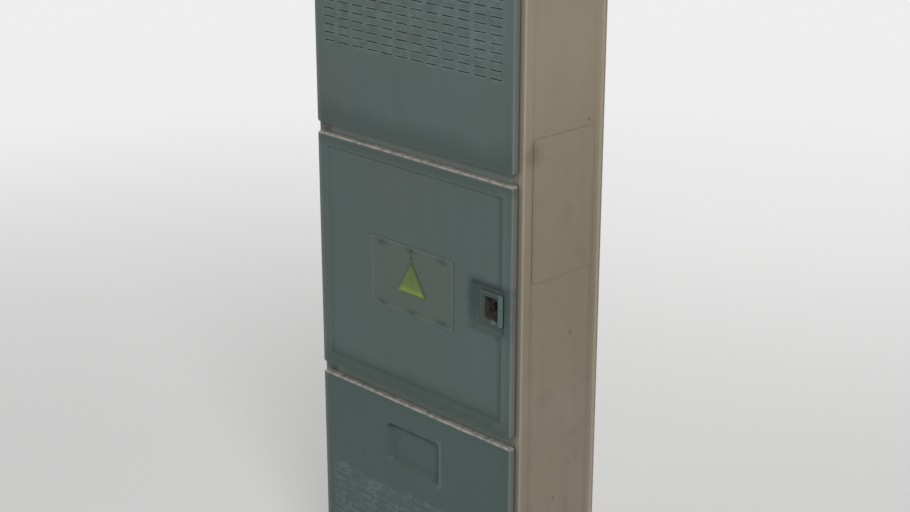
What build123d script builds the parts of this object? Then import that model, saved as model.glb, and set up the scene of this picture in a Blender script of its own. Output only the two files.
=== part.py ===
from build123d import *

import os

os.makedirs("parts", exist_ok=True)

# A tall, shallow fuse box that stands on the floor: a folded steel case with three square doors one
# above another. Millimetres, +Z up, doors facing -Y, origin on the floor under the middle of the box.

# Sheet metal
sheet = 1.5
bend = 2.5
weld_gap = 0.2
seat_gap = 0.3

# Doors: shallow folded pans that stand in front of the case, a little narrower than it
door_side = 11.0
door_height = 464.0
door_gap = 18.0
door_stand = 15.0
door_depth = 12.0
door_corner = 6.0
door_edge = 3.0

# Case
case_width = 522.0
case_depth = 200.0
end_margin = 18.0
plinth_height = 60.0
rear_flange = 20.0
press_depth = 1.2
press_border = 20.0
tray_flange = 15.0
stud_radius = 2.5
stud_play = 0.3
nut_radius = 4.6
nut_height = 4.0

# Cable window in the right side and its cover
window_edge = 22.0
window_height = 140.0
window_corner = 10.0
cover_margin = 3.0
cover_height = 256.0
cover_corner = 9.0
cover_drop = 53.0
cover_stud_length = 8.0
stud_inset = 12.0

# Back: wall holes and studs for the inner plates
wall_hole_radius = 5.5
wall_hole_inset = 46.0
wall_hole_drop = 82.0
stud_length = 9.0

# Floor: holes and their grommets
grommet_hole = 20.0
grommet_pitch = 120.0
grommet_back = 90.0
grommet_lip = 4.0
grommet_skin = 2.0
grommet_dome = 9.0

# Dividers between the compartments, each with a pass for cables
rail_return = 12.0
pass_width = 120.0
pass_depth = 40.0
pass_back = 50.0

# Plinth with four anchor holes
plinth_inset = 8.0
plinth_sheet = 2.0
foot_width = 42.0
head_width = 20.0
anchor_radius = 6.0
anchor_inset = 41.0
anchor_depth_inset = 35.0

# Door seal: a sponge strip between the door skin and the front lip
seal_width = 9.0
seal_inset = 3.5
seal_hinge_inset = 12.0
seal_play = 0.3
seal_margin = 2.5

# Hinges: welded barrels hidden behind the left edge of each door
hinge_reach = 150.0
pivot_inset = 5.8
pivot_stand = 9.0
knuckle_radius = 4.0
pin_radius = 2.0
pin_play = 0.05
fixed_knuckle = 14.0
door_knuckle = 19.4
knuckle_gap = 0.3
hinge_leaf = 1.5
hinge_foot = 2.0
hinge_foot_width = 8.0
hinge_foot_shift = 1.4
hinge_web = 2.5
pin_head = 3.0
pin_head_height = 1.6
notch_play = 2.0

# Ventilation slots of the top and bottom doors
slot_length = 28.0
slot_height = 1.8
slot_margin = 27.0
slot_pitch_z = 14.75
slot_columns = 12
slot_rows = 11
bottom_slot_drop = 189.0

# Middle door: pressed field, latch dish, sign and triangle
field_border = 24.0
field_depth = 2.5
dish_width = 84.0
dish_height = 88.0
dish_depth = 6.5
dish_from_edge = 16.5
latch_from_edge = 52.0
sign_width = 214.0
sign_height = 132.0
sign_corner = 4.0
sign_drop = 2.5
sign_thickness = 1.2
triangle_side = 78.0
triangle_corner = 3.0
triangle_thickness = 1.2
triangle_middle = 8.0
rivet_x = 80.0
rivet_edge = 7.0
rivet_radius = 1.6
rivet_head = 3.2
rivet_head_height = 1.1
rivet_tail = 0.6
screw_height = 46.0
screw_head = 3.6
screw_head_height = 1.2
screw_slot = 0.8

# Latch: cast housing, square drive, cam plate
housing_width = 56.0
housing_height = 60.0
housing_flange = 3.0
pocket_width = 31.0
pocket_height = 41.0
pocket_depth = 16.0
housing_wall = 2.0
housing_floor = 3.0
collar_radius = 8.0
collar_height = 2.0
spindle_radius = 6.0
drive_square = 8.0
drive_length = 7.0
cam_thickness = 3.0
cam_width = 18.0
cam_reach = 50.0
cam_gap = 0.5
cam_seat = 8.0
cam_screw_head = 6.5
keeper_height = 40.0
keeper_width = 14.5
keeper_inset = 2.0
latch_chamfer = 1.2
pocket_corner = 1.5

# Pull of the bottom door: a pressed dish
grip_width = 140.0
grip_height = 84.0
grip_depth = 9.5
grip_drop = 52.0
grip_corner = 14.0
dish_taper = 42.0

# Magnetic catches of the top and bottom doors, and the strikes that meet them
catch_width = 32.0
catch_height = 44.0
catch_thickness = 12.0
catch_overlap = 13.0
catch_corner = 2.0
pole_width = 4.0
pole_height = 36.0
pole_depth = 1.0
strike_width = 10.0
strike_height = 24.0
strike_sheet = 2.0
strike_inset = 2.0

# Mounting plates
plate_margin = 71.0
plate_drop = 42.0
plate_lift = 25.0
plate_foot = 16.0
plate_sheet = 2.0
plate_stud_inset = 30.0

# Rail and terminals of the top bay
rail_inset = 20.0
din_height = 35.0
din_crown = 27.0
din_depth = 7.5
din_sheet = 1.0
terminal_pitch = 10.0
terminal_count = 12
terminal_height = 44.0
terminal_depth = 38.0
terminal_nose = 24.0
terminal_shoulder = 16.0
terminal_mouth = 3.6
screw_mouth_depth = 3.0
wire_mouth_depth = 6.0
terminal_slit = 0.6

# Fuses, busbar and main switch of the middle bay
fuse_pitch = 68.0
fuse_inset = 138.0
base_width = 34.0
base_height = 132.0
base_depth = 22.0
base_corner = 4.0
base_channel_height = 44.0
base_channel_depth = 7.3
clip_reach = 38.0
clip_width = 14.0
clip_leaf = 2.0
clip_foot = 3.0
clip_depth = 20.0
blade_thickness = 6.0
blade_play = 0.1
blade_length = 17.0
blade_depth = 15.0
link_width = 28.0
link_height = 52.0
link_depth = 40.0
link_lug = 3.0
link_corner = 3.0
busbar_height = 12.0
busbar_thickness = 5.0
busbar_corner = 2.0
busbar_drop = 1.0
switch_inset = 78.0
switch_width = 76.0
switch_height = 104.0
switch_depth = 58.0
switch_collar = 24.0
switch_collar_height = 2.0
switch_step = 20.0
switch_step_inset = 9.0
shaft_bore_depth = 14.0
knob_radius = 20.0
knob_height = 7.0
grip_bar = 9.0
grip_bar_inset = 3.0
knob_shaft = 5.0
knob_shaft_length = 12.0

# Earth bar of the bottom bay
bar_length = 240.0
bar_height = 20.0
bar_thickness = 5.0
bar_lift = 36.0
bar_foot = 18.0
bar_holes = 6
bar_pitch = 32.0
bar_hole = 3.2
bar_drop = 110.0

# Places worked out from the sizes above
door_width = case_width - 2 * door_side
front_y = -(door_stand + case_depth) / 2
case_y = front_y + door_stand
back_y = case_y + case_depth
side_x = case_width / 2
case_bottom = plinth_height + sheet
case_height = 3 * door_height + 2 * door_gap + 2 * end_margin
case_top = case_bottom + case_height
case_middle = (case_bottom + case_top) / 2
bottom_z, middle_z, top_z = [
    case_bottom + end_margin + door_height / 2 + bay * (door_height + door_gap) for bay in range(3)
]
opening_left = -door_width / 2 + seal_hinge_inset + seal_width + seal_margin
opening_right = door_width / 2 - seal_inset - seal_width - seal_margin
opening_width = opening_right - opening_left
opening_height = door_height - 2 * (seal_inset + seal_width + seal_margin)
rail_height = door_gap + door_height - opening_height
end_rail = end_margin + (door_height - opening_height) / 2
skin_y = front_y + sheet
lip_back_y = case_y + sheet
back_inner_y = back_y - sheet
flange_inner_y = back_inner_y - sheet
case_mid_y = (case_y + back_y) / 2
shelf_half = side_x - sheet - press_depth - seat_gap
cover_z = middle_z + door_height / 2 - cover_drop
cover_width = case_depth - 2 * (press_border + cover_margin)
window_width = cover_width - 2 * window_edge
pivot_x = -door_width / 2 + pivot_inset
pivot_y = case_y - pivot_stand
hinge_height = 2 * fixed_knuckle + door_knuckle + 2 * knuckle_gap
field_face_y = front_y + field_depth
sign_face_y = field_face_y - sign_thickness
sign_z = middle_z - sign_drop
latch_x = door_width / 2 - latch_from_edge
dish_x = door_width / 2 - dish_from_edge - dish_width / 2
dish_floor_y = front_y + dish_depth
housing_front_y = dish_floor_y - housing_flange
pocket_floor_y = housing_front_y + pocket_depth
housing_back_y = pocket_floor_y + housing_floor
cam_front_y = housing_back_y + seat_gap
grip_z = bottom_z + door_height / 2 - grip_drop - grip_height / 2
strike_x = opening_right - strike_inset - strike_width / 2
plate_face_y = back_inner_y - plate_lift
plate_width = case_width - 2 * plate_margin
plate_height = door_height - 2 * plate_drop
plate_stud_x = plate_width + plate_foot
switch_x = switch_inset - plate_width / 2
fuse_x = plate_width / 2 - fuse_inset
plate_stud_z = plate_height - 2 * plate_stud_inset


def write(piece, name):
    """Labels a finished piece and writes it."""
    piece.part.label = name
    export_step(piece.part, f"parts/{name}.step")


def block(x, y, z, mode=Mode.ADD):
    """A block between three pairs of coordinates, in the piece that is being built."""
    with Locations(((x[0] + x[1]) / 2, (y[0] + y[1]) / 2, (z[0] + z[1]) / 2)):
        Box(x[1] - x[0], y[1] - y[0], z[1] - z[0], mode=mode)


def facing_front(y, x=0.0, z=0.0):
    """A plane that looks at the doors, with its own x to the right and its own y up."""
    return Plane(origin=(x, y, z), x_dir=(1, 0, 0), z_dir=(0, -1, 0))


def facing_back(y, x=0.0, z=0.0):
    """The same place seen from inside the box, so that a positive extrusion goes into the case."""
    return Plane(origin=(x, y, z), x_dir=(-1, 0, 0), z_dir=(0, 1, 0))


# Case sides: each a C-fold of one sheet, with a front lip, a pressed field and a rear flange
def side_panel(outward, lip_edge, with_window):
    """One side wall of the case; outward is 1 on the right and -1 on the left."""
    field = (case_depth - 2 * press_border, case_height - 2 * press_border)
    with BuildPart() as panel:
        with BuildSketch(Plane.XY.offset(case_bottom)):
            with BuildLine():
                FilletPolyline(
                    (lip_edge, case_y),
                    (outward * side_x, case_y),
                    (outward * side_x, back_inner_y),
                    (outward * (side_x - rear_flange), back_inner_y),
                    radius=bend,
                )
                offset(amount=sheet, side=Side.LEFT if outward > 0 else Side.RIGHT)
            make_face()
        extrude(amount=case_height)
        outer_origin = (outward * side_x, case_mid_y, case_middle)
        outer_face = Plane(origin=outer_origin, x_dir=(0, 1, 0), z_dir=(-outward, 0, 0))
        with BuildSketch(outer_face.offset(sheet)):
            RectangleRounded(*field, bend)
        extrude(amount=press_depth, taper=45)
        with BuildSketch(outer_face):
            RectangleRounded(*field, bend)
        extrude(amount=press_depth, taper=45, mode=Mode.SUBTRACT)
        if with_window:
            with BuildSketch(outer_face.offset(press_depth)):
                with Locations((0, case_middle - cover_z)):
                    RectangleRounded(window_width, window_height, window_corner)
                    with GridLocations(cover_width - 2 * stud_inset, cover_height - 2 * stud_inset, 2, 2):
                        Circle(stud_radius + stud_play)
            extrude(amount=sheet, mode=Mode.SUBTRACT)
    return panel


side_right = side_panel(1, opening_right, True)
write(side_right, "side_right")
side_left = side_panel(-1, opening_left, False)
write(side_left, "side_left")

# Cover of the cable window in the right side: it lies in the pressed field, flush with the border
cover_plane = Plane(origin=(side_x - press_depth, case_mid_y, cover_z), x_dir=(0, 1, 0), z_dir=(1, 0, 0))
with BuildPart() as side_cover:
    with BuildSketch(cover_plane):
        RectangleRounded(cover_width, cover_height, cover_corner)
    extrude(amount=press_depth)
    with BuildSketch(cover_plane):
        with GridLocations(cover_width - 2 * stud_inset, cover_height - 2 * stud_inset, 2, 2):
            Circle(stud_radius)
    extrude(amount=-cover_stud_length)
write(side_cover, "side_cover")

with BuildPart() as side_cover_nuts:
    with BuildSketch(cover_plane.offset(-sheet)):
        with GridLocations(cover_width - 2 * stud_inset, cover_height - 2 * stud_inset, 2, 2):
            RegularPolygon(nut_radius, 6)
            Circle(stud_radius + pin_play, mode=Mode.SUBTRACT)
    extrude(amount=-nut_height)
write(side_cover_nuts, "side_cover_nuts")

# Back: a flat sheet spot-welded on the rear flanges, with wall holes and studs for the inner plates
with BuildPart() as back_panel:
    with BuildSketch(facing_front(back_inner_y, z=case_middle)):
        Rectangle(case_width, case_height)
        with GridLocations(case_width - 2 * wall_hole_inset, case_height - 2 * wall_hole_drop, 2, 2):
            Circle(wall_hole_radius, mode=Mode.SUBTRACT)
    extrude(amount=-sheet)
    for bay_z in (middle_z, top_z):
        with BuildSketch(facing_front(back_inner_y, z=bay_z)):
            with GridLocations(plate_stud_x, plate_stud_z, 2, 2):
                Circle(stud_radius)
        extrude(amount=stud_length)
write(back_panel, "back_panel")


def end_tray(face_z, inward):
    """Roof or floor sheet: a plate over the ends of the walls, a front rail and three short flanges."""
    rail_x = (opening_left + weld_gap, opening_right - weld_gap)
    inner_x = side_x - sheet - seat_gap
    flange_z = sorted((face_z, face_z + inward * tray_flange))
    with BuildPart() as tray:
        block((-side_x, side_x), (case_y, back_y), sorted((face_z, face_z - inward * sheet)))
        fillet(tray.faces().sort_by(Axis.Z)[-1 if inward < 0 else 0].edges(), sheet * 0.7)
        block(rail_x, (case_y, lip_back_y), sorted((face_z, face_z + inward * end_rail)))
        flange_y = (lip_back_y + seat_gap, flange_inner_y - seat_gap)
        block((inner_x - sheet, inner_x), flange_y, flange_z)
        block((-inner_x, sheet - inner_x), flange_y, flange_z)
        block((sheet - inner_x, inner_x - sheet), (flange_y[1] - sheet, flange_y[1]), flange_z)
    return tray


roof_panel = end_tray(case_top, -1)
write(roof_panel, "roof_panel")

# Floor: the same tray the other way up, with three holes for cable grommets
floor_tray = end_tray(case_bottom, 1)
with BuildPart() as floor_panel:
    add(floor_tray.part)
    with BuildSketch(Plane.XY.offset(plinth_height)):
        with Locations((0, case_y + grommet_back)):
            with GridLocations(grommet_pitch, 0, 3, 1):
                Circle(grommet_hole)
    extrude(amount=sheet, mode=Mode.SUBTRACT)
write(floor_panel, "floor_panel")

# Grommets: rubber rings with a groove for the sheet and a closed, domed skin that a cable is cut into
with BuildPart() as cable_grommets:
    with BuildSketch(Plane.XZ) as grommet_section:
        with BuildLine():
            outer = grommet_hole + grommet_lip
            neck = grommet_hole - seat_gap
            under = plinth_height - grommet_skin - pin_play
            over = case_bottom + grommet_skin + pin_play
            Polyline(
                (0, over + grommet_dome - grommet_skin),
                (neck * 0.55, over + grommet_dome - grommet_skin),
                (neck - grommet_skin, under),
                (outer, under),
                (outer, plinth_height - pin_play),
                (neck, plinth_height - pin_play),
                (neck, case_bottom + pin_play),
                (outer, case_bottom + pin_play),
                (outer, over),
                (neck, over),
                (neck * 0.6, over + grommet_dome),
                (0, over + grommet_dome),
                close=True,
            )
        make_face()
    revolve(axis=Axis.Z)
    ring = cable_grommets.part
with BuildPart() as grommet_row:
    with Locations((0, case_y + grommet_back)):
        with GridLocations(grommet_pitch, 0, 3, 1):
            add(ring)
write(grommet_row, "cable_grommets")


# Dividers: a rail between two doors, folded back into the shelf that parts the compartments


def divider(rail_z):
    """One folded divider whose rail is centred between two doors."""
    with BuildPart() as tray:
        with BuildSketch(Plane.YZ.offset(opening_left + weld_gap)):
            with BuildLine():
                FilletPolyline(
                    (case_y + rail_return, rail_z - rail_height / 2),
                    (case_y, rail_z - rail_height / 2),
                    (case_y, rail_z + rail_height / 2),
                    (flange_inner_y - seat_gap, rail_z + rail_height / 2),
                    radius=bend,
                )
                offset(amount=sheet, side=Side.RIGHT)
            make_face()
        extrude(amount=opening_width - 2 * weld_gap)
        shelf_z = (rail_z + rail_height / 2 - sheet, rail_z + rail_height / 2)
        wing_y = (lip_back_y + seat_gap, flange_inner_y - seat_gap)
        block((-shelf_half, opening_left + weld_gap), wing_y, shelf_z)
        block((opening_right - weld_gap, shelf_half), wing_y, shelf_z)
        with BuildSketch(Plane.XY.offset(shelf_z[0])):
            with Locations((0, flange_inner_y - pass_back)):
                RectangleRounded(pass_width, pass_depth, pass_depth / 4)
        extrude(amount=sheet, mode=Mode.SUBTRACT)
    return tray


divider_lower = divider((bottom_z + middle_z) / 2)
write(divider_lower, "divider_lower")
divider_upper = divider((middle_z + top_z) / 2)
write(divider_upper, "divider_upper")

# Plinth: a welded frame of folded channel, set back from the case, with anchor holes in its foot
plinth_x = case_width - 2 * plinth_inset
plinth_y = case_depth - 2 * plinth_inset
with BuildPart() as plinth:
    with BuildSketch(Plane.XY):
        with Locations((0, case_mid_y)):
            RectangleRounded(plinth_x, plinth_y, bend + plinth_sheet)
    extrude(amount=plinth_height)
    with BuildSketch(Plane.XY.offset(plinth_sheet)):
        with Locations((0, case_mid_y)):
            RectangleRounded(plinth_x - 2 * plinth_sheet, plinth_y - 2 * plinth_sheet, bend)
    extrude(amount=plinth_height - 2 * plinth_sheet, mode=Mode.SUBTRACT)
    with BuildSketch(Plane.XY):
        with Locations((0, case_mid_y)):
            Rectangle(plinth_x - 2 * foot_width, plinth_y - 2 * foot_width)
            with GridLocations(case_width - 2 * anchor_inset, case_depth - 2 * anchor_depth_inset, 2, 2):
                Circle(anchor_radius)
    extrude(amount=plinth_sheet, mode=Mode.SUBTRACT)
    with BuildSketch(Plane.XY.offset(plinth_height - plinth_sheet)):
        with Locations((0, case_mid_y)):
            Rectangle(plinth_x - 2 * head_width, plinth_y - 2 * head_width)
    extrude(amount=plinth_sheet, mode=Mode.SUBTRACT)
write(plinth, "plinth")


# Doors


def pan_block(z, inset):
    """Block with the outline of a door, drawn in by inset on its sides and front, with rounded folds."""
    with BuildPart() as solid:
        with BuildSketch(facing_front(front_y + door_depth, z=z)):
            RectangleRounded(door_width - 2 * inset, door_height - 2 * inset, door_corner - inset)
        extrude(amount=door_depth - inset)
        fillet(solid.faces().sort_by(Axis.Y)[0].edges(), door_edge - inset)
    return solid.part


def fold_pan(z):
    """Door skin with four flanges and rounded welded corners, open at the back, notched for its hinges."""
    add(pan_block(z, 0))
    add(pan_block(z, sheet), mode=Mode.SUBTRACT)
    for hinge_z in (z - hinge_reach, z + hinge_reach):
        half = hinge_height / 2 + notch_play
        flange_x = (-door_width / 2 - 1, -door_width / 2 + sheet)
        flange_y = (front_y + door_edge, front_y + door_depth + 1)
        block(flange_x, flange_y, (hinge_z - half, hinge_z + half), Mode.SUBTRACT)


def punch_slots(z):
    """A field of ventilation slots through the door skin, its middle at height z."""
    slot_pitch_x = (door_width - 2 * slot_margin - slot_length) / (slot_columns - 1)
    with BuildSketch(facing_front(front_y, z=z)) as slots:
        with GridLocations(slot_pitch_x, slot_pitch_z, slot_columns, slot_rows):
            Rectangle(slot_length, slot_height)
    extrude(slots.sketch, amount=-sheet, mode=Mode.SUBTRACT)


def press_dish(x, z, width, height, depth, corner):
    """A dish pressed into the skin: its back is raised inside before its front is sunk."""
    with BuildSketch(facing_back(skin_y, x, z)) as raised:
        RectangleRounded(width, height, corner)
    extrude(raised.sketch, amount=depth, taper=dish_taper)
    with BuildSketch(facing_back(front_y, x, z)) as sunk:
        RectangleRounded(width, height, corner)
    extrude(sunk.sketch, amount=depth, taper=dish_taper, mode=Mode.SUBTRACT)


with BuildPart() as door_top:
    fold_pan(top_z)
    punch_slots(top_z)
write(door_top, "door_top")

bottom_slots_z = bottom_z + door_height / 2 - bottom_slot_drop - (slot_rows - 1) * slot_pitch_z / 2
with BuildPart() as door_bottom:
    fold_pan(bottom_z)
    press_dish(0, grip_z, grip_width, grip_height, grip_depth, grip_corner)
    punch_slots(bottom_slots_z)
write(door_bottom, "door_bottom")

with BuildPart() as door_middle:
    fold_pan(middle_z)
    press_dish(0, middle_z, door_width - 2 * field_border, door_height - 2 * field_border, field_depth, bend)
    press_dish(dish_x, middle_z, dish_width, dish_height, dish_depth, bend * 2)
    with BuildSketch(facing_front(dish_floor_y, latch_x, middle_z)):
        RectangleRounded(
            pocket_width + 2 * housing_wall + 2 * seat_gap, pocket_height + 2 * housing_wall + 2 * seat_gap, bend
        )
    extrude(amount=-door_depth, mode=Mode.SUBTRACT)
    with BuildSketch(facing_front(field_face_y, 0, sign_z)):
        with GridLocations(rivet_x, sign_height - 2 * rivet_edge, 3, 2):
            Circle(rivet_radius + pin_play)
    extrude(amount=-door_depth, mode=Mode.SUBTRACT)
write(door_middle, "door_middle")


# Door seals: one closed ring of sponge on the back of each skin
def door_seal(z):
    """Sponge ring inside the door flanges, set further in on the hinge side."""
    left = -door_width / 2 + seal_hinge_inset
    right = door_width / 2 - seal_inset
    half = door_height / 2 - seal_inset
    with BuildPart() as seal:
        with BuildSketch(facing_back(skin_y, (left + right) / 2, z)):
            RectangleRounded(right - left, 2 * half, door_corner)
            Rectangle(right - left - 2 * seal_width, 2 * half - 2 * seal_width, mode=Mode.SUBTRACT)
        extrude(amount=case_y - skin_y - seal_play)
    return seal


for name, z in (("bottom", bottom_z), ("middle", middle_z), ("top", top_z)):
    write(door_seal(z), f"seal_{name}")


# Hinges: two barrels on the case, one on the door and a headed pin, twice for each door
def hinge_plane(z):
    """Level plane through a hinge axis, at height z."""
    return Plane(origin=(pivot_x, pivot_y, z), x_dir=(1, 0, 0), z_dir=(0, 0, 1))


def case_hinge(z):
    """Outer barrels with the strip that is welded to the front lip."""
    low = z - hinge_height / 2
    leaf_x = (1 - knuckle_radius, knuckle_radius)
    with BuildPart() as hinge:
        for base in (low, z + hinge_height / 2 - fixed_knuckle):
            with BuildSketch(hinge_plane(base)):
                Circle(knuckle_radius)
                with Locations((knuckle_radius - hinge_web / 2, pivot_stand / 2)):
                    Rectangle(hinge_web, pivot_stand)
                Circle(pin_radius + pin_play / 2, mode=Mode.SUBTRACT)
            extrude(amount=fixed_knuckle)
        with BuildSketch(hinge_plane(low)):
            with Locations((sum(leaf_x) / 2, pivot_stand - hinge_leaf / 2)):
                Rectangle(leaf_x[1] - leaf_x[0], hinge_leaf)
        extrude(amount=hinge_height)
    return hinge


def door_hinge(z):
    """Middle barrel with the foot that is welded to the back of the door skin."""
    skin = skin_y - pivot_y
    with BuildPart() as hinge:
        with BuildSketch(hinge_plane(z - door_knuckle / 2)):
            Circle(knuckle_radius)
            with Locations((hinge_foot_shift, skin + hinge_foot / 2)):
                Rectangle(hinge_foot_width, hinge_foot)
            with Locations((0, skin / 2)):
                Rectangle(knuckle_radius, -skin)
            Circle(pin_radius + pin_play, mode=Mode.SUBTRACT)
        extrude(amount=door_knuckle)
    return hinge


hinge_heights = []
for name, z in (("bottom", bottom_z), ("middle", middle_z), ("top", top_z)):
    for end, hinge_z in (("lower", z - hinge_reach), ("upper", z + hinge_reach)):
        write(case_hinge(hinge_z), f"case_hinge_{name}_{end}")
        write(door_hinge(hinge_z), f"door_hinge_{name}_{end}")
        hinge_heights.append(hinge_z)

with BuildPart() as hinge_pins:
    for hinge_z in hinge_heights:
        with BuildSketch(hinge_plane(hinge_z - hinge_height / 2)):
            Circle(pin_radius)
        extrude(amount=hinge_height)
        with BuildSketch(hinge_plane(hinge_z + hinge_height / 2)):
            Circle(pin_head)
        extrude(amount=pin_head_height)
write(hinge_pins, "hinge_pins")

# Sign plate on the middle door with its rivets, and the triangle on it with the screw at its tip
with BuildPart() as sign_plate:
    with BuildSketch(facing_front(field_face_y, 0, sign_z)):
        RectangleRounded(sign_width, sign_height, sign_corner)
        with GridLocations(rivet_x, sign_height - 2 * rivet_edge, 3, 2):
            Circle(rivet_radius + pin_play, mode=Mode.SUBTRACT)
    extrude(amount=sign_thickness)
write(sign_plate, "sign_plate")

with BuildPart() as sign_rivets:
    with BuildSketch(facing_front(sign_face_y, 0, sign_z)):
        with GridLocations(rivet_x, sign_height - 2 * rivet_edge, 3, 2):
            Circle(rivet_head)
    extrude(amount=rivet_head_height, taper=40)
    with BuildSketch(facing_back(sign_face_y, 0, sign_z)):
        with GridLocations(rivet_x, sign_height - 2 * rivet_edge, 3, 2):
            Circle(rivet_radius)
    extrude(amount=sign_thickness + sheet + rivet_tail)
write(sign_rivets, "sign_rivets")

triangle_height = triangle_side * 3**0.5 / 2
triangle_low = triangle_middle - triangle_height / 2
with BuildPart() as sign_triangle:
    with BuildSketch(facing_front(sign_face_y, 0, sign_z)) as triangle_outline:
        with BuildLine():
            Polyline(
                (-triangle_side / 2, triangle_low),
                (triangle_side / 2, triangle_low),
                (0, triangle_low + triangle_height),
                close=True,
            )
        make_face()
        fillet(triangle_outline.vertices(), triangle_corner)
    extrude(amount=triangle_thickness)
write(sign_triangle, "sign_triangle")

with BuildPart() as triangle_screw:
    with BuildSketch(facing_front(sign_face_y, 0, sign_z + screw_height)):
        Circle(screw_head)
    extrude(amount=screw_head_height, taper=30)
    with BuildSketch(facing_front(sign_face_y - screw_head_height, 0, sign_z + screw_height)):
        Rectangle(screw_head * 1.5, screw_slot)
    extrude(amount=-screw_slot, mode=Mode.SUBTRACT)
write(triangle_screw, "triangle_screw")

# Latch: a cast housing in the dish, with a pocket for the key and a bored floor
with BuildPart() as latch_housing:
    with BuildSketch(facing_back(housing_front_y, latch_x, middle_z)):
        RectangleRounded(housing_width, housing_height, bend * 2)
    extrude(amount=housing_flange)
    fillet(latch_housing.faces().sort_by(Axis.Y)[0].edges(), latch_chamfer)
    with BuildSketch(facing_back(dish_floor_y, latch_x, middle_z)):
        RectangleRounded(pocket_width + 2 * housing_wall, pocket_height + 2 * housing_wall, bend)
    extrude(amount=housing_back_y - dish_floor_y)
    with BuildSketch(facing_back(housing_front_y, latch_x, middle_z)):
        RectangleRounded(pocket_width, pocket_height, pocket_corner)
    extrude(amount=pocket_depth, mode=Mode.SUBTRACT)
    with BuildSketch(facing_back(pocket_floor_y, latch_x, middle_z)):
        Circle(spindle_radius + pin_play)
    extrude(amount=housing_floor, mode=Mode.SUBTRACT)
write(latch_housing, "latch_housing")

# Spindle: square drive in the pocket, a collar, the journal in the housing and a square seat for the cam
with BuildPart() as latch_spindle:
    with BuildSketch(facing_front(pocket_floor_y - seat_gap, latch_x, middle_z)):
        Circle(collar_radius)
    extrude(amount=collar_height)
    with BuildSketch(facing_front(pocket_floor_y - seat_gap - collar_height, latch_x, middle_z)):
        Rectangle(drive_square, drive_square)
    extrude(amount=drive_length)
    with BuildSketch(facing_back(pocket_floor_y - seat_gap, latch_x, middle_z)):
        Circle(spindle_radius)
    extrude(amount=cam_front_y - pocket_floor_y + seat_gap)
    with BuildSketch(facing_back(cam_front_y, latch_x, middle_z)):
        Rectangle(cam_seat, cam_seat)
    extrude(amount=cam_thickness)
write(latch_spindle, "latch_spindle")

# Cam: a plate with a rounded hub and a tongue; it hangs down unlocked and turns up behind the keeper
with BuildPart() as latch_cam:
    with BuildSketch(facing_back(cam_front_y, latch_x, middle_z)) as cam_outline:
        with Locations((0, -(cam_reach - cam_width / 2) / 2)):
            SlotCenterToCenter(cam_reach - cam_width / 2, cam_width, rotation=90)
        Rectangle(cam_seat + 2 * pin_play, cam_seat + 2 * pin_play, mode=Mode.SUBTRACT)
    extrude(amount=cam_thickness)
write(latch_cam, "latch_cam")

with BuildPart() as cam_screw:
    with BuildSketch(facing_back(cam_front_y + cam_thickness, latch_x, middle_z)):
        RegularPolygon(cam_screw_head, 6)
    extrude(amount=nut_height)
write(cam_screw, "cam_screw")

# Keeper: a plate welded behind the right lip; the cam's tongue turns in behind it
keeper_thickness = cam_front_y - cam_gap - lip_back_y
with BuildPart() as latch_keeper:
    with BuildSketch(facing_back(lip_back_y, opening_right + keeper_inset + keeper_width / 2, middle_z)):
        Rectangle(keeper_width, keeper_height)
    extrude(amount=keeper_thickness)
    chamfer(latch_keeper.faces().sort_by(Axis.Y)[-1].edges().filter_by(Axis.Z), latch_chamfer)
write(latch_keeper, "latch_keeper")

# Magnetic catches of the top and bottom doors: a magnet behind the right lip, a folded foot on the door
strike_top_y = lip_back_y - seat_gap - strike_sheet
for name, z in (("bottom", bottom_z), ("top", top_z)):
    with BuildPart() as catch:
        with BuildSketch(facing_back(lip_back_y, opening_right - catch_overlap + catch_width / 2, z)):
            RectangleRounded(catch_width, catch_height, catch_corner)
        extrude(amount=catch_thickness)
        with BuildSketch(facing_back(lip_back_y, strike_x, z)):
            Rectangle(pole_width, pole_height)
        extrude(amount=pole_depth, mode=Mode.SUBTRACT)
    write(catch, f"catch_{name}")
    with BuildPart() as strike:
        with BuildSketch(Plane.YZ.offset(strike_x - strike_width / 2)):
            with BuildLine():
                FilletPolyline(
                    (skin_y, z - strike_height),
                    (skin_y, z - strike_height / 2),
                    (strike_top_y, z - strike_height / 2),
                    (strike_top_y, z + strike_height / 2),
                    (skin_y, z + strike_height / 2),
                    (skin_y, z + strike_height),
                    radius=strike_sheet + 0.5,
                )
                offset(amount=strike_sheet, side=Side.RIGHT)
            make_face()
        extrude(amount=strike_width)
    write(strike, f"strike_{name}")

# Mounting plates: a hat-folded plate on four studs in the middle and top bays


def mounting_plate(z):
    """Plate with two folded legs whose feet lie on the back panel."""
    half = plate_width / 2
    with BuildPart() as plate:
        with BuildSketch(Plane.XY.offset(z - plate_height / 2)):
            with BuildLine():
                FilletPolyline(
                    (-half - plate_foot, back_inner_y),
                    (-half, back_inner_y),
                    (-half, plate_face_y + plate_sheet),
                    (half, plate_face_y + plate_sheet),
                    (half, back_inner_y),
                    (half + plate_foot, back_inner_y),
                    radius=bend,
                )
                offset(amount=plate_sheet, side=Side.RIGHT)
            make_face()
        extrude(amount=plate_height)
        with BuildSketch(facing_front(back_inner_y - plate_sheet, z=z)):
            with GridLocations(plate_stud_x, plate_stud_z, 2, 2):
                Circle(stud_radius + stud_play)
        extrude(amount=-plate_sheet, mode=Mode.SUBTRACT)
    return plate


for name, z in (("middle", middle_z), ("top", top_z)):
    write(mounting_plate(z), f"mounting_plate_{name}")

with BuildPart() as plate_nuts:
    for z in (middle_z, top_z):
        with BuildSketch(facing_front(back_inner_y - plate_sheet, z=z)):
            with GridLocations(plate_stud_x, plate_stud_z, 2, 2):
                RegularPolygon(nut_radius, 6)
                Circle(stud_radius + pin_play, mode=Mode.SUBTRACT)
        extrude(amount=nut_height)
write(plate_nuts, "plate_nuts")

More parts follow.
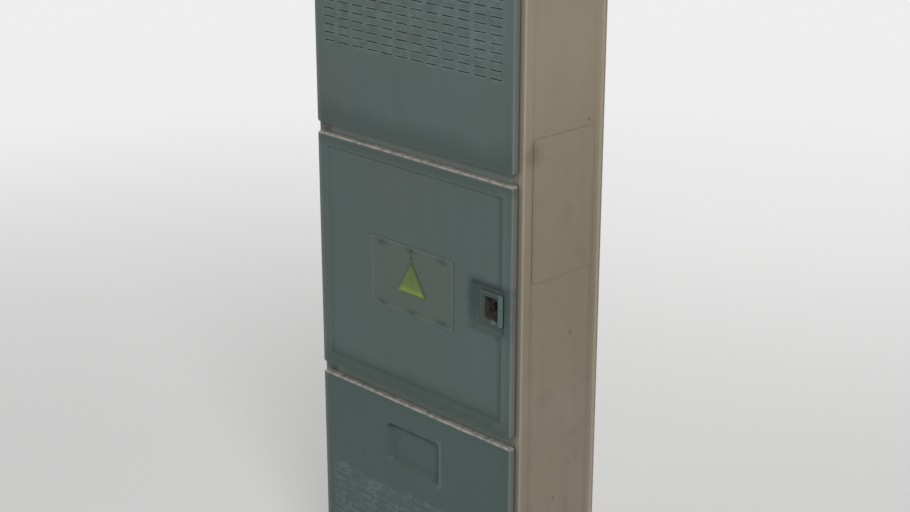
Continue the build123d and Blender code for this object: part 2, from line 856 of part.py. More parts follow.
# Top bay: a top-hat rail with a strip of terminals, each with a wire mouth above and below its screws
with BuildPart() as din_rail:
    with BuildSketch(Plane.YZ.offset(rail_inset - plate_width / 2)):
        with BuildLine():
            lip_y = plate_face_y - din_depth + din_sheet
            FilletPolyline(
                (lip_y, top_z - din_height / 2),
                (lip_y, top_z - din_crown / 2),
                (plate_face_y, top_z - din_crown / 2),
                (plate_face_y, top_z + din_crown / 2),
                (lip_y, top_z + din_crown / 2),
                (lip_y, top_z + din_height / 2),
                radius=din_sheet + 0.2,
            )
            offset(amount=din_sheet, side=Side.LEFT)
        make_face()
    extrude(amount=plate_width - 2 * rail_inset)
write(din_rail, "din_rail")

strip_back_y = plate_face_y - din_depth
strip_length = terminal_pitch * terminal_count
with BuildPart() as terminal_strip:
    with BuildSketch(Plane.YZ.offset(-strip_length / 2)):
        with BuildLine():
            shoulder_y = strip_back_y - terminal_shoulder
            nose_y = strip_back_y - terminal_depth
            Polyline(
                (strip_back_y, top_z - terminal_height / 2),
                (shoulder_y, top_z - terminal_height / 2),
                (nose_y, top_z - terminal_nose / 2),
                (nose_y, top_z + terminal_nose / 2),
                (shoulder_y, top_z + terminal_height / 2),
                (strip_back_y, top_z + terminal_height / 2),
                close=True,
            )
        make_face()
    extrude(amount=strip_length)
    with BuildSketch(facing_back(nose_y, 0, top_z)):
        with GridLocations(terminal_pitch, terminal_nose / 2, terminal_count, 2):
            Rectangle(terminal_mouth, terminal_mouth)
        with GridLocations(terminal_pitch, 0, terminal_count - 1, 1):
            Rectangle(terminal_slit, terminal_height)
    extrude(amount=screw_mouth_depth, mode=Mode.SUBTRACT)
    for end in (-1, 1):
        with BuildSketch(Plane.XY.offset(top_z + end * terminal_height / 2)):
            with Locations((0, strip_back_y - terminal_shoulder / 2)):
                with GridLocations(terminal_pitch, 0, terminal_count, 1):
                    Rectangle(terminal_mouth, terminal_mouth)
        extrude(amount=-end * wire_mouth_depth, mode=Mode.SUBTRACT)
write(terminal_strip, "terminal_strip")

# Middle bay: three fuse bases with spring clips and blade fuses, joined by a bar along their heads
base_face_y = plate_face_y - base_depth
clip_face_y = base_face_y - clip_foot
blade_gap = blade_thickness / 2 + blade_play
fuse_places = [(fuse_x + (index - 1) * fuse_pitch, index + 1) for index in range(3)]
for x, number in fuse_places:
    with BuildPart() as base:
        with BuildSketch(facing_front(plate_face_y, x, middle_z)):
            RectangleRounded(base_width, base_height, base_corner)
        extrude(amount=base_depth)
        with BuildSketch(facing_front(base_face_y, x, middle_z)):
            Rectangle(base_width, base_channel_height)
        extrude(amount=-base_channel_depth, mode=Mode.SUBTRACT)
    write(base, f"fuse_base_{number}")

with BuildPart() as fuse_clips:
    for x, number in fuse_places:
        for clip_z in (middle_z - clip_reach, middle_z + clip_reach):
            with BuildSketch(facing_front(base_face_y, x, clip_z)):
                Rectangle(2 * (blade_gap + clip_leaf), clip_width)
            extrude(amount=clip_depth + clip_foot)
            with BuildSketch(facing_front(clip_face_y, x, clip_z)):
                Rectangle(2 * blade_gap, clip_width)
            extrude(amount=clip_depth, mode=Mode.SUBTRACT)
write(fuse_clips, "fuse_clips")

link_back_y = clip_face_y - seat_gap
for x, number in fuse_places:
    with BuildPart() as link:
        with BuildSketch(facing_front(link_back_y, x, middle_z)):
            RectangleRounded(link_width, link_height, link_corner)
        extrude(amount=link_depth)
        with BuildSketch(facing_front(link_back_y, x, middle_z)):
            Rectangle(blade_thickness, link_height + 2 * blade_length)
        extrude(amount=blade_depth)
        with BuildSketch(facing_front(link_back_y - link_depth / 2, x, middle_z)):
            Rectangle(link_width / 2, link_height + 2 * link_lug)
        extrude(amount=link_depth / 2 + link_lug)
        with BuildSketch(facing_front(link_back_y - link_depth, x, middle_z)):
            Rectangle(link_width, link_height - 2 * link_lug)
        extrude(amount=link_lug, mode=Mode.SUBTRACT)
    write(link, f"fuse_link_{number}")

busbar_z = middle_z + base_height / 2 - busbar_height / 2 - busbar_drop
with BuildPart() as busbar:
    with BuildSketch(facing_front(base_face_y, fuse_x, busbar_z)):
        RectangleRounded(2 * fuse_pitch + base_width, busbar_height, busbar_corner)
    extrude(amount=busbar_thickness)
write(busbar, "busbar")

switch_face_y = plate_face_y - switch_depth
with BuildPart() as main_switch:
    with BuildSketch(facing_front(plate_face_y, switch_x, middle_z)):
        RectangleRounded(switch_width, switch_height, base_corner)
    extrude(amount=switch_depth)
    with BuildSketch(facing_front(switch_face_y, switch_x, middle_z)):
        with GridLocations(0, switch_height - 2 * switch_step_inset, 1, 2):
            Rectangle(switch_width, switch_step)
    extrude(amount=-switch_depth / 2, mode=Mode.SUBTRACT)
    with BuildSketch(facing_front(switch_face_y, switch_x, middle_z)):
        Circle(switch_collar)
    extrude(amount=switch_collar_height)
    with BuildSketch(facing_front(switch_face_y - switch_collar_height, switch_x, middle_z)):
        Circle(knob_shaft + pin_play)
    extrude(amount=-shaft_bore_depth, mode=Mode.SUBTRACT)
write(main_switch, "main_switch")

knob_back_y = switch_face_y - switch_collar_height - seat_gap
with BuildPart() as switch_knob:
    with BuildSketch(facing_front(knob_back_y, switch_x, middle_z)):
        Circle(knob_radius)
    extrude(amount=knob_height, taper=8)
    with BuildSketch(facing_front(knob_back_y - knob_height, switch_x, middle_z)):
        SlotOverall(2 * (knob_radius - grip_bar_inset), grip_bar, rotation=90)
    extrude(amount=2 * knob_height, taper=5)
    with BuildSketch(facing_back(knob_back_y, switch_x, middle_z)):
        Circle(knob_shaft)
    extrude(amount=knob_shaft_length)
write(switch_knob, "switch_knob")

# Bottom bay: a drilled earth bar with folded feet that are welded to the back panel
bar_face_y = back_inner_y - bar_lift
bar_z = bottom_z - bar_drop
with BuildPart() as earth_bar:
    with BuildSketch(Plane.XY.offset(bar_z - bar_height / 2)):
        with BuildLine():
            FilletPolyline(
                (-bar_length / 2 - bar_foot, back_inner_y),
                (-bar_length / 2, back_inner_y),
                (-bar_length / 2, bar_face_y),
                (bar_length / 2, bar_face_y),
                (bar_length / 2, back_inner_y),
                (bar_length / 2 + bar_foot, back_inner_y),
                radius=bar_thickness + 1,
            )
            offset(amount=bar_thickness, side=Side.RIGHT)
        make_face()
    extrude(amount=bar_height)
    with BuildSketch(facing_front(bar_face_y, 0, bar_z)):
        with GridLocations(bar_pitch, 0, bar_holes, 1):
            Circle(bar_hole)
    extrude(amount=bar_thickness, mode=Mode.SUBTRACT)
write(earth_bar, "earth_bar")
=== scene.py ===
# %% [markdown]
# # A tall fuse box with three doors
# A fuse box like this is folded from thin sheet steel and sprayed with enamel: a beige case, and grey-green
# doors that stand 15 mm in front of it. Its solids are made already, in a CAD program. This lesson dresses
# them: it gives every sheet its paint and wear, and models the soft and small pieces again with more detail.
# The model is loaded as a fixed frame. Its units are metres, Z is up and the doors face -Y.

import math

import bmesh
import bpy
from mathutils import Matrix, Vector


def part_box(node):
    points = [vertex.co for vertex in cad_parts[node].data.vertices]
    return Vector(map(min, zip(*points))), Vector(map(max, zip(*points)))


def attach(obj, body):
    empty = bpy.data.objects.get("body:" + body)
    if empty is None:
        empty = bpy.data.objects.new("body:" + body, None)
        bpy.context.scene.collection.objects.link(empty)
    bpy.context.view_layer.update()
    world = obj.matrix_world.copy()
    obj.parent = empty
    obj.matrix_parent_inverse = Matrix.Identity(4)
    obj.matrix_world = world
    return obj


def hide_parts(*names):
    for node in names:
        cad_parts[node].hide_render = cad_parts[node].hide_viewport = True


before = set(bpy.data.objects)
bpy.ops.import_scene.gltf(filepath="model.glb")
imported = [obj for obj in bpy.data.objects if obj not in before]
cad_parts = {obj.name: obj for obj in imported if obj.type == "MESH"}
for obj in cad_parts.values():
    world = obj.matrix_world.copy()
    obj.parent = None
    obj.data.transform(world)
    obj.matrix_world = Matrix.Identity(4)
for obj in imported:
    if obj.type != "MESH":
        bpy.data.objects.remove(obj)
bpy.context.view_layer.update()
mm = 0.001
doors = ("bottom", "middle", "top")


# %% [markdown]
# ## Helpers for shader nodes
# A material is a tree of nodes. Written out in full, each node takes a line to make it, a line for every
# value and one for every link. The helpers below make a node in one call: an input that is given another
# node's socket is linked to it, and any other input is set to the value.

# %% Node helpers
def put(tree, kind, inputs=(), **settings):
    """Adds one shader node; inputs pairs a socket's name or number with a value or another socket."""
    made = tree.nodes.new("ShaderNode" + kind)
    for key, value in settings.items():
        setattr(made, key, value)
    for key, value in dict(inputs).items():
        if isinstance(value, bpy.types.NodeSocket):
            tree.links.new(value, made.inputs[key])
        else:
            made.inputs[key].default_value = value
    return made


def calc(tree, operation, *values, clamp=False):
    """A Math node's result."""
    return put(tree, "Math", enumerate(values), operation=operation, use_clamp=clamp).outputs[0]


def times(tree, first, second, clamp=False):
    """Two values multiplied, as two masks are where both have to hold."""
    return calc(tree, "MULTIPLY", first, second, clamp=clamp)


def vector(tree, operation, *values, result=0):
    """A Vector Math node's result."""
    return put(tree, "VectorMath", enumerate(values), operation=operation).outputs[result]


def ease(tree, value, start, end, low=0.0, high=1.0):
    """Maps value from start..end to low..high along a smooth step."""
    inputs = {"Value": value, "From Min": start, "From Max": end, "To Min": low, "To Max": high}
    return put(tree, "MapRange", inputs, interpolation_type="SMOOTHSTEP").outputs[0]


def band(tree, value, start, full, end, full_until):
    """A mask that rises from start to full, and falls again from full_until to end."""
    return times(tree, ease(tree, value, start, full), ease(tree, value, end, full_until))


def object_place(tree):
    """The point that is shaded, in the object's own coordinates, which at rest are the world's too."""
    return put(tree, "TexCoord").outputs["Object"]


def along(tree, axis):
    """How far the shaded point is along X, Y or Z, which are 0, 1 and 2."""
    return put(tree, "SeparateXYZ", {0: object_place(tree)}).outputs[axis]


def facing_up(tree):
    """How far the surface faces the sky, from -1 to 1."""
    return put(tree, "SeparateXYZ", {0: put(tree, "NewGeometry").outputs["Normal"]}).outputs[2]


def noise(tree, place, scale, detail=3.0, roughness=0.6):
    """A noise value of about 0.2 to 0.8."""
    return put(
        tree, "TexNoise", {"Vector": place, "Scale": scale, "Detail": detail, "Roughness": roughness}
    ).outputs[0]


# %% [markdown]
# Colours are written as they would be read off a colour card, 0 to 255. A shader wants them linear, so
# `paint` converts them. `tint` lays one colour over another where a mask says so, which is how every stain,
# chip and worn edge below is added, one upon another, as on the real sheet.

# %% Colour helpers
def paint(red, green, blue):
    """A colour from a card, as the linear colour that a shader takes."""
    parts = [value / 255 for value in (red, green, blue)]
    return (*[part / 12.92 if part <= 0.04045 else ((part + 0.055) / 1.055) ** 2.4 for part in parts], 1.0)


def mix(tree, factor, first, second, how="MIX"):
    """A colour mixed from two others."""
    mixed = put(tree, "Mix", {0: factor, 6: first, 7: second}, data_type="RGBA", blend_type=how)
    return mixed.outputs[2]


def tint(tree, under, mask, amount, over):
    """Lays a colour over another, as strongly as mask times amount."""
    return mix(tree, times(tree, mask, amount, clamp=True), under, over)


print("a mid grey card reads", [round(value, 3) for value in paint(128, 128, 128)[:3]])


# %% [markdown]
# ## Effects that several finishes share
# Clouded paint, rubbed folds, chipped edges, settled grime, rust and the skin of a sprayed coat turn up in
# more than one material, so each is a node group: built once, and placed with values of its own. The
# alternative, copying the nodes into every material, drifts apart as soon as one copy is changed.

# %% Helpers for node groups
def start_group(name, inputs, outputs):
    """A shader node group with float or vector inputs and float outputs."""
    group = bpy.data.node_groups.new(name, "ShaderNodeTree")
    for label, value in inputs.items():
        kind = "NodeSocketVector" if isinstance(value, tuple) else "NodeSocketFloat"
        group.interface.new_socket(name=label, in_out="INPUT", socket_type=kind).default_value = value
    for label in outputs:
        group.interface.new_socket(name=label, in_out="OUTPUT", socket_type="NodeSocketFloat")
    inside = group.nodes.new("NodeGroupInput")
    return group, inside.outputs, group.nodes.new("NodeGroupOutput").inputs


def use(tree, group, **values):
    """Places a group in a material and returns its outputs."""
    placed = tree.nodes.new("ShaderNodeGroup")
    placed.node_tree = group
    for key, value in values.items():
        socket = placed.inputs[key.replace("_", " ")]
        if isinstance(value, bpy.types.NodeSocket):
            tree.links.new(value, socket)
        else:
            socket.default_value = value
    return placed.outputs


# %% [markdown]
# Enamel that has stood outdoors is never one even colour. Broad clouds come from uneven fading, faint
# upright streaks from rain, and blotches from dirt that was half wiped away. All are noise on Object
# coordinates; the streaks stretch theirs along Z.

# %% Clouded enamel
clouds, given, result = start_group(
    "clouded_enamel", {"Scale": 3.0, "Seed": 0.0}, ["Cloud", "Streak", "Blotch", "Grain"]
)
seed = put(clouds, "CombineXYZ", {"X": given["Seed"], "Y": given["Seed"], "Z": given["Seed"]}).outputs[0]
moved = vector(clouds, "ADD", object_place(clouds), seed)
clouds.links.new(ease(clouds, noise(clouds, moved, given["Scale"], 4.0, 0.55), 0.3, 0.7), result["Cloud"])
tall = put(clouds, "Mapping", {"Vector": moved, "Scale": (1.0, 1.0, 0.07)}).outputs[0]
clouds.links.new(ease(clouds, noise(clouds, tall, 42.0), 0.35, 0.72), result["Streak"])
clouds.links.new(ease(clouds, noise(clouds, moved, 17.0, 5.0, 0.7), 0.52, 0.72), result["Blotch"])
clouds.links.new(noise(clouds, moved, 260.0, 3.0, 0.7), result["Grain"])
print("clouded_enamel", len(clouds.nodes), "nodes")

# %% [markdown]
# Folds rub pale because hands, doors and tools catch them. For a folded box the distance to its nearest fold
# has a simple rule: take the distances from a point to the three pairs of faces, and the middle one of the
# three is the distance to the nearest edge. The band's width wanders with noise, as real rubbing does.

# %% Rubbed folds of a box
rubbed, given, result = start_group(
    "rubbed_folds", {"Centre": (0.0, 0.0, 0.0), "Half Size": (1.0, 1.0, 1.0), "Width": 0.004}, ["Rub"]
)
place = object_place(rubbed)
reach = vector(rubbed, "ABSOLUTE", vector(rubbed, "SUBTRACT", place, given["Centre"]))
gap = put(rubbed, "SeparateXYZ", {0: vector(rubbed, "SUBTRACT", given["Half Size"], reach)}).outputs
low = calc(rubbed, "MINIMUM", calc(rubbed, "MINIMUM", gap[0], gap[1]), gap[2])
high = calc(rubbed, "MAXIMUM", calc(rubbed, "MAXIMUM", gap[0], gap[1]), gap[2])
total = calc(rubbed, "ADD", calc(rubbed, "ADD", gap[0], gap[1]), gap[2])
middle = calc(rubbed, "SUBTRACT", calc(rubbed, "SUBTRACT", total, low), high)
wander = calc(rubbed, "MULTIPLY_ADD", noise(rubbed, place, 34.0, 4.0), 1.6, 0.2)
width = times(rubbed, given["Width"], wander)
rubbed.links.new(ease(rubbed, calc(rubbed, "DIVIDE", middle, width), 0.35, 1.2, 1.0, 0.0), result["Rub"])
print("rubbed_folds", len(rubbed.nodes), "nodes")

# %% [markdown]
# Many marks follow a rectangle: the pressed field of a door, a dish, the outline itself. This group gives
# the depth of a point inside such a box, negative outside it, and how far across and up in the box it is,
# from -1 to 1. A half size of 9 m, `free` below, takes an axis out of the count, so that the same group
# serves any direction.

# %% Depth inside a rectangle
inside_of, given, result = start_group(
    "depth_inside", {"Centre": (0.0, 0.0, 0.0), "Half Size": (1.0, 1.0, 1.0)}, ["Depth", "Across", "Up"]
)
away = vector(inside_of, "SUBTRACT", object_place(inside_of), given["Centre"])
gap = vector(inside_of, "SUBTRACT", given["Half Size"], vector(inside_of, "ABSOLUTE", away))
gap = put(inside_of, "SeparateXYZ", {0: gap}).outputs
depth = calc(inside_of, "MINIMUM", calc(inside_of, "MINIMUM", gap[0], gap[1]), gap[2])
inside_of.links.new(depth, result["Depth"])
share = put(inside_of, "SeparateXYZ", {0: vector(inside_of, "DIVIDE", away, given["Half Size"])}).outputs
inside_of.links.new(share[0], result["Across"])
inside_of.links.new(share[2], result["Up"])
free = 9.0
print("depth_inside", len(inside_of.nodes), "nodes")

# %% [markdown]
# Small chips sit right on an edge, on any edge, also of a slot or a dish. A Bevel node answers with the
# normal that a rounded edge would have; where that departs from the true normal, an edge is near. Ambient
# occlusion takes the inner corners out again, because nothing chips them.

# %% Chipped edges
chipped, given, result = start_group("chipped_edges", {"Radius": 0.0015, "Amount": 0.5}, ["Chip", "Edge"])
rounded = put(chipped, "Bevel", {"Radius": given["Radius"]}, samples=6).outputs[0]
true_normal = put(chipped, "NewGeometry").outputs["Normal"]
edge = ease(chipped, vector(chipped, "DOT_PRODUCT", rounded, true_normal, result="Value"), 0.985, 0.86)
open_air = put(chipped, "AmbientOcclusion", {"Distance": 0.006}, samples=6, only_local=True).outputs["AO"]
edge = times(chipped, edge, ease(chipped, open_air, 0.55, 0.8))
bites = noise(chipped, object_place(chipped), 210.0, 5.0, 0.65)
limit = calc(chipped, "MULTIPLY_ADD", given["Amount"], -0.4, 0.75)
bitten = ease(chipped, calc(chipped, "SUBTRACT", bites, limit), -0.02, 0.03)
chipped.links.new(times(chipped, edge, bitten), result["Chip"])
chipped.links.new(edge, result["Edge"])
print("chipped_edges", len(chipped.nodes), "nodes")

# %% [markdown]
# Soot settles where wiping doesn't reach, and shade falls in the same places: inner corners, the foot of a
# step, round a rivet. Ambient occlusion measures just that, so the first output is grime and painted shade in
# one, and noise breaks it up. Dust lies on whatever faces the sky, so the second output looks at the Z of the
# normal.

# %% Settled grime with painted shade, and dust
grime_and_shade, given, result = start_group("grime_and_painted_shade", {"Distance": 0.03, "Amount": 0.6}, ["Grime", "Dust"])
closed_in = put(grime_and_shade, "AmbientOcclusion", {"Distance": given["Distance"]}, samples=8).outputs["AO"]
patchy = noise(grime_and_shade, object_place(grime_and_shade), 55.0, 4.0, 0.65)
uneven = calc(grime_and_shade, "MULTIPLY_ADD", patchy, 1.1, 0.35)
deep = times(grime_and_shade, ease(grime_and_shade, closed_in, 0.95, 0.35), uneven)
grime_and_shade.links.new(times(grime_and_shade, deep, given["Amount"], clamp=True), result["Grime"])
lying = ease(grime_and_shade, facing_up(grime_and_shade), 0.55, 0.95)
dust = times(grime_and_shade, lying, ease(grime_and_shade, patchy, 0.25, 0.65, 0.35, 1.0))
grime_and_shade.links.new(dust, result["Dust"])
print("grime_and_painted_shade", len(grime_and_shade.nodes), "nodes")

# %% [markdown]
# Rust starts as specks where the coat is thin. A Voronoi pattern gives every cell a point and a random
# colour: only the cells whose colour passes a limit show a speck, and noise frays its outline. A single
# stain in a known place is simpler: the distance to that place, frayed in the same way.

# %% Rust specks
specks, given, result = start_group(
    "rust_specks", {"Scale": 30.0, "Size": 0.1, "Share": 0.1}, ["Speck", "Halo"]
)
place = object_place(specks)
cells = put(specks, "TexVoronoi", {"Vector": place, "Scale": given["Scale"]}).outputs
frayed = calc(specks, "MULTIPLY_ADD", noise(specks, place, 400.0), 0.12, -0.06)
away = calc(specks, "ADD", cells["Distance"], frayed)
chosen = put(specks, "SeparateColor", {0: cells["Color"]}).outputs
shown = calc(specks, "LESS_THAN", chosen[0], given["Share"])
size = times(specks, given["Size"], calc(specks, "MULTIPLY_ADD", chosen[1], 0.9, 0.4))
near = calc(specks, "DIVIDE", away, size)
specks.links.new(times(specks, ease(specks, near, 1.0, 0.6), shown), result["Speck"])
specks.links.new(times(specks, ease(specks, near, 2.6, 0.6), shown), result["Halo"])
print("rust_specks", len(specks.nodes), "nodes")

# %% One stain in a known place
stain, given, result = start_group("one_stain", {"Centre": (0.0, 0.0, 0.0), "Radius": 0.01}, ["Stain"])
place = object_place(stain)
away = vector(stain, "DISTANCE", place, given["Centre"], result="Value")
away = calc(stain, "SUBTRACT", calc(stain, "DIVIDE", away, given["Radius"]), 0.6)
away = calc(stain, "MULTIPLY_ADD", noise(stain, place, 90.0, 5.0, 0.7), 1.2, away)
stain.links.new(ease(stain, away, 1.0, 0.2), result["Stain"])


def stained(tree, base, centre, radius, amount, colour):
    """Lays one frayed stain over a colour."""
    return tint(tree, base, use(tree, stain, Centre=centre, Radius=radius)["Stain"], amount, colour)


print("one_stain", len(stain.nodes), "nodes")

# %% [markdown]
# A sprayed coat has the fine dimples of orange peel, and thin sheet is never quite flat: it draws in a little
# round its folds and welds. Both go into one height, in metres, for a Bump node.

# %% Sprayed coat on thin sheet
coat, given, result = start_group(
    "sprayed_coat", {"Peel": 0.00003, "Wave": 0.0006, "Scratch": 0.00002}, ["Height"]
)
place = object_place(coat)
hairline = {"Vector": place, "Rotation": (0.4, 0.7, 0.5), "Scale": (1.0, 14.0, 1.0)}
turned = put(coat, "Mapping", hairline).outputs[0]
hair = ease(coat, noise(coat, turned, 38.0, 2.0, 0.8), 0.71, 0.74)
height = times(coat, noise(coat, place, 520.0, 2.0), given["Peel"])
height = calc(coat, "MULTIPLY_ADD", noise(coat, place, 5.5, 1.0), given["Wave"], height)
height = calc(coat, "SUBTRACT", height, times(coat, hair, given["Scratch"]))
coat.links.new(height, result["Height"])
print("sprayed_coat", len(coat.nodes), "nodes")


# %% [markdown]
# ## The finishes
# Each material holds its own Principled BSDF. What is the same all over, such as the gloss level, is set on
# the shader's own socket; what changes over the surface comes from the groups.

# %% Helpers for a material
def start_material(name, **constants):
    """A material with a Principled BSDF and the constants set on it."""
    made = bpy.data.materials.new(name)
    made.use_nodes = True
    tree = made.node_tree
    tree.nodes.clear()
    shader = put(tree, "BsdfPrincipled")
    tree.links.new(shader.outputs[0], put(tree, "OutputMaterial").inputs[0])
    for key, value in constants.items():
        shader.inputs[key.replace("_", " ")].default_value = value
    return made, tree, shader


def bump(tree, shader, height, edge_radius):
    """Feeds a height in metres into the shader's normal, over edges that are softened by a radius."""
    softened = put(tree, "Bevel", {"Radius": edge_radius}, samples=4).outputs[0]
    inputs = {"Height": height, "Strength": 1.0, "Distance": 1.0, "Normal": softened}
    tree.links.new(put(tree, "Bump", inputs).outputs[0], shader.inputs["Normal"])


def box_of(*names):
    """The middle and the half size of the box round some nodes, in metres."""
    boxes = [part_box(name) for name in names]
    low = [min(box[0][axis] for box in boxes) for axis in range(3)]
    high = [max(box[1][axis] for box in boxes) for axis in range(3)]
    return tuple((a + b) / 2 for a, b in zip(low, high)), tuple((b - a) / 2 for a, b in zip(low, high))


# %% [markdown]
# The enamel is the finish that everything else is seen against. From the bottom up it is the clouded colour
# itself with rain streaks and blotches, the marks that belong to one sheet only, painted light and shade
# among them, a paler coat on the rubbed folds, grime with painted shade and dust on top, chips down to primer
# and steel, and last a few rust specks with a brown halo that has run into the paint. `marks` is a function
# that adds the marks of one sheet.

# %% Enamel on folded sheet
def enamel(name, colour, faded, worn, box, rub=0.5, grime=0.5, rust=0.05, chips=0.45, dust=0.12, seed=0.0,
           marks=None):
    """Sprayed sheet steel; box is the middle and half size of the folded box whose edges are rubbed."""
    made, tree, shader = start_material(name, Specular_IOR_Level=0.35)
    cloud = use(tree, clouds, Scale=2.6, Seed=seed)
    folds = use(tree, rubbed, Centre=box[0], Half_Size=box[1], Width=0.0042)
    edges = use(tree, chipped, Radius=0.0014, Amount=chips)
    dust_grime_and_shade = use(tree, grime_and_shade, Distance=0.03, Amount=grime)
    spots = use(tree, specks, Scale=22.0, Size=0.075, Share=rust)
    base = mix(tree, cloud["Cloud"], colour, faded)
    base = tint(tree, base, cloud["Streak"], 0.09, paint(62, 66, 60))
    base = tint(tree, base, cloud["Blotch"], 0.12, paint(50, 60, 56))
    fine = ease(tree, cloud["Grain"], 0.2, 0.8, 0.94, 1.06)
    base = mix(tree, 1.0, base, put(tree, "CombineXYZ", {0: fine, 1: fine, 2: fine}).outputs[0], "MULTIPLY")
    if marks:
        base = marks(tree, base)
    base = tint(tree, base, folds["Rub"], rub, worn)
    base = tint(tree, base, dust_grime_and_shade["Dust"], dust, paint(150, 145, 132))
    # Grime from ambient occlusion: soot and painted shade in the corners.
    base = tint(tree, base, dust_grime_and_shade["Grime"], 1.0, paint(36, 40, 36))
    bare = mix(tree, cloud["Grain"], paint(140, 138, 128), paint(92, 74, 58))
    base = tint(tree, base, edges["Chip"], 0.7, bare)
    base = tint(tree, base, spots["Halo"], 0.25, paint(90, 70, 50))
    base = tint(tree, base, spots["Speck"], 1.0, paint(54, 40, 31))
    tree.links.new(base, shader.inputs["Base Color"])
    rough = calc(tree, "MULTIPLY_ADD", cloud["Cloud"], 0.1, 0.5)
    rough = calc(tree, "MULTIPLY_ADD", dust_grime_and_shade["Grime"], 0.3, rough)
    rough = calc(tree, "MULTIPLY_ADD", spots["Halo"], 0.25, rough)
    rough = calc(tree, "MULTIPLY_ADD", dust_grime_and_shade["Dust"], 0.2, rough, clamp=True)
    tree.links.new(rough, shader.inputs["Roughness"])
    height = use(tree, coat, Peel=0.00003, Wave=0.0005, Scratch=0.00002)["Height"]
    height = calc(tree, "MULTIPLY_ADD", edges["Chip"], -0.00008, height)
    bump(tree, shader, calc(tree, "MULTIPLY_ADD", spots["Speck"], 0.00015, height), 0.0009)
    return made


# %% [markdown]
# ### The case
# The case is beige outside and in. Each side is pressed 1.2 mm inwards within a border, and a darker line of
# dirt and painted shade lies along that step. The sheet has painted light towards the top and painted shade
# towards the foot, and its rear fold is rubbed pale under a painted highlight. The front edge, which the
# doors hide, carries the painted shade of the gap, darkest where the rails end. A few old stains sit on the
# right side, where brackets or water have marked it.

# %% The case's enamel
case_box = box_of("side_left", "side_right")
field_border = 20 * mm


def case_marks(tree, base):
    """Painted shade and grime on the step, painted light and shade by height, a rear fold highlight, front
    shade, stains.
    """
    half = (free, case_box[1][1] - field_border, case_box[1][2] - field_border)
    field = use(tree, inside_of, Centre=case_box[0], Half_Size=half)
    # A darker line along the pressed step: dirt and painted shade.
    step = band(tree, field["Depth"], -0.006, 0.001, 0.012, 0.003)
    base = tint(tree, base, step, 0.14, paint(88, 76, 58))
    # Painted shade towards the foot, then painted light towards the top.
    base = tint(tree, base, ease(tree, field["Up"], 0.9, -1.0), 0.16, paint(92, 86, 68))
    base = tint(tree, base, ease(tree, field["Up"], 0.15, 0.7), 0.35, paint(162, 149, 129))
    # The rear fold is rubbed pale, and a painted highlight lies over the wear.
    rear = case_box[0][1] + case_box[1][1]
    wander = calc(tree, "MULTIPLY_ADD", noise(tree, object_place(tree), 30.0), 0.006, along(tree, 1))
    base = tint(tree, base, ease(tree, wander, rear - 0.01, rear - 0.003), 0.5, paint(176, 164, 148))
    # The front faces behind the door line and the ends of the rails carry painted shade from the gap.
    front = case_box[0][1] - case_box[1][1]
    ahead = ease(tree, along(tree, 1), front + 0.003, front + 0.001)
    painted_gap_shade = times(tree, ahead, ease(tree, calc(tree, "ABSOLUTE", along(tree, 0)), 0.251, 0.249))
    base = tint(tree, base, painted_gap_shade, 0.6, paint(84, 94, 89))
    for rail in ("divider_upper", "divider_lower"):
        left_end = (case_box[0][0] - case_box[1][0] + 0.011, front, box_of(rail)[0][2])
        base = stained(tree, base, left_end, 0.034, 0.85, paint(80, 90, 86))
    for height, depth, radius, strength in (
        (1.1115, 0.0701, 0.006, 0.6), (0.7305, 0.0335, 0.007, 0.5), (0.4135, -0.0015, 0.006, 0.5),
        (1.075, -0.07, 0.03, 0.35), (0.96, 0.02, 0.02, 0.12), (0.62, -0.03, 0.03, 0.12),
    ):
        spot = (case_box[0][0] + case_box[1][0], depth, height)
        base = stained(tree, base, spot, radius, strength, paint(72, 62, 46))
    return base


case_colours = (paint(139, 129, 112), paint(135, 124, 106), paint(166, 160, 152))
case_enamel = enamel("case_enamel", *case_colours, case_box, 0.3, 0.15, dust=0.3, seed=3.1, marks=case_marks)
print("case measures", [round(2000 * value, 1) for value in case_box[1]], "mm")

# %% [markdown]
# ### The doors
# What the doors share comes from their outline. The top face and edge carry a pale grey line, rubbed wear
# with a painted highlight over it; a soft dark band rises from the foot, another lies a finger's width inside
# the outline, the left border is a little bleached, and the narrow right wall is lighter as painted light.

# %% Marks that all doors share
def outline_marks(tree, base, box):
    """The dark foot band, the inner dark band, the bleached left, painted light on the right wall and the
    pale top line.
    """
    outline = use(tree, inside_of, Centre=box[0], Half_Size=(box[1][0], free, box[1][2]))
    high = along(tree, 2)
    foot, top = box[0][2] - box[1][2], box[0][2] + box[1][2]
    # A soft dark band, darker towards the foot.
    uneven = calc(tree, "MULTIPLY_ADD", noise(tree, object_place(tree), 14.0, 4.0), 0.05, -0.025)
    raised = calc(tree, "ADD", high, uneven)
    base = tint(tree, base, ease(tree, raised, foot + 0.062, foot + 0.012), 0.5, paint(46, 62, 57))
    # A soft dark band a finger's width inside the outline.
    inner_band = band(tree, outline["Depth"], 0.002, 0.008, 0.024, 0.01)
    base = tint(tree, base, inner_band, 0.16, paint(50, 66, 60))
    base = tint(tree, base, ease(tree, outline["Across"], -0.94, -0.985), 0.45, paint(106, 120, 115))
    # The narrow right wall is lighter: painted light.
    base = tint(tree, base, ease(tree, outline["Across"], 0.988, 0.997), 0.75, paint(112, 111, 106))
    # The pale top line: rubbed wear with a painted highlight on the top face.
    fray = calc(tree, "MULTIPLY_ADD", noise(tree, object_place(tree), 130.0, 3.0), 0.005, -0.0025)
    line = ease(tree, calc(tree, "ADD", high, fray), top - 0.0048, top - 0.002)
    dashes = ease(tree, noise(tree, object_place(tree), 75.0, 2.0), 0.38, 0.6, 0.5, 1.0)
    return tint(tree, base, times(tree, line, dashes), 0.95, paint(172, 164, 155))


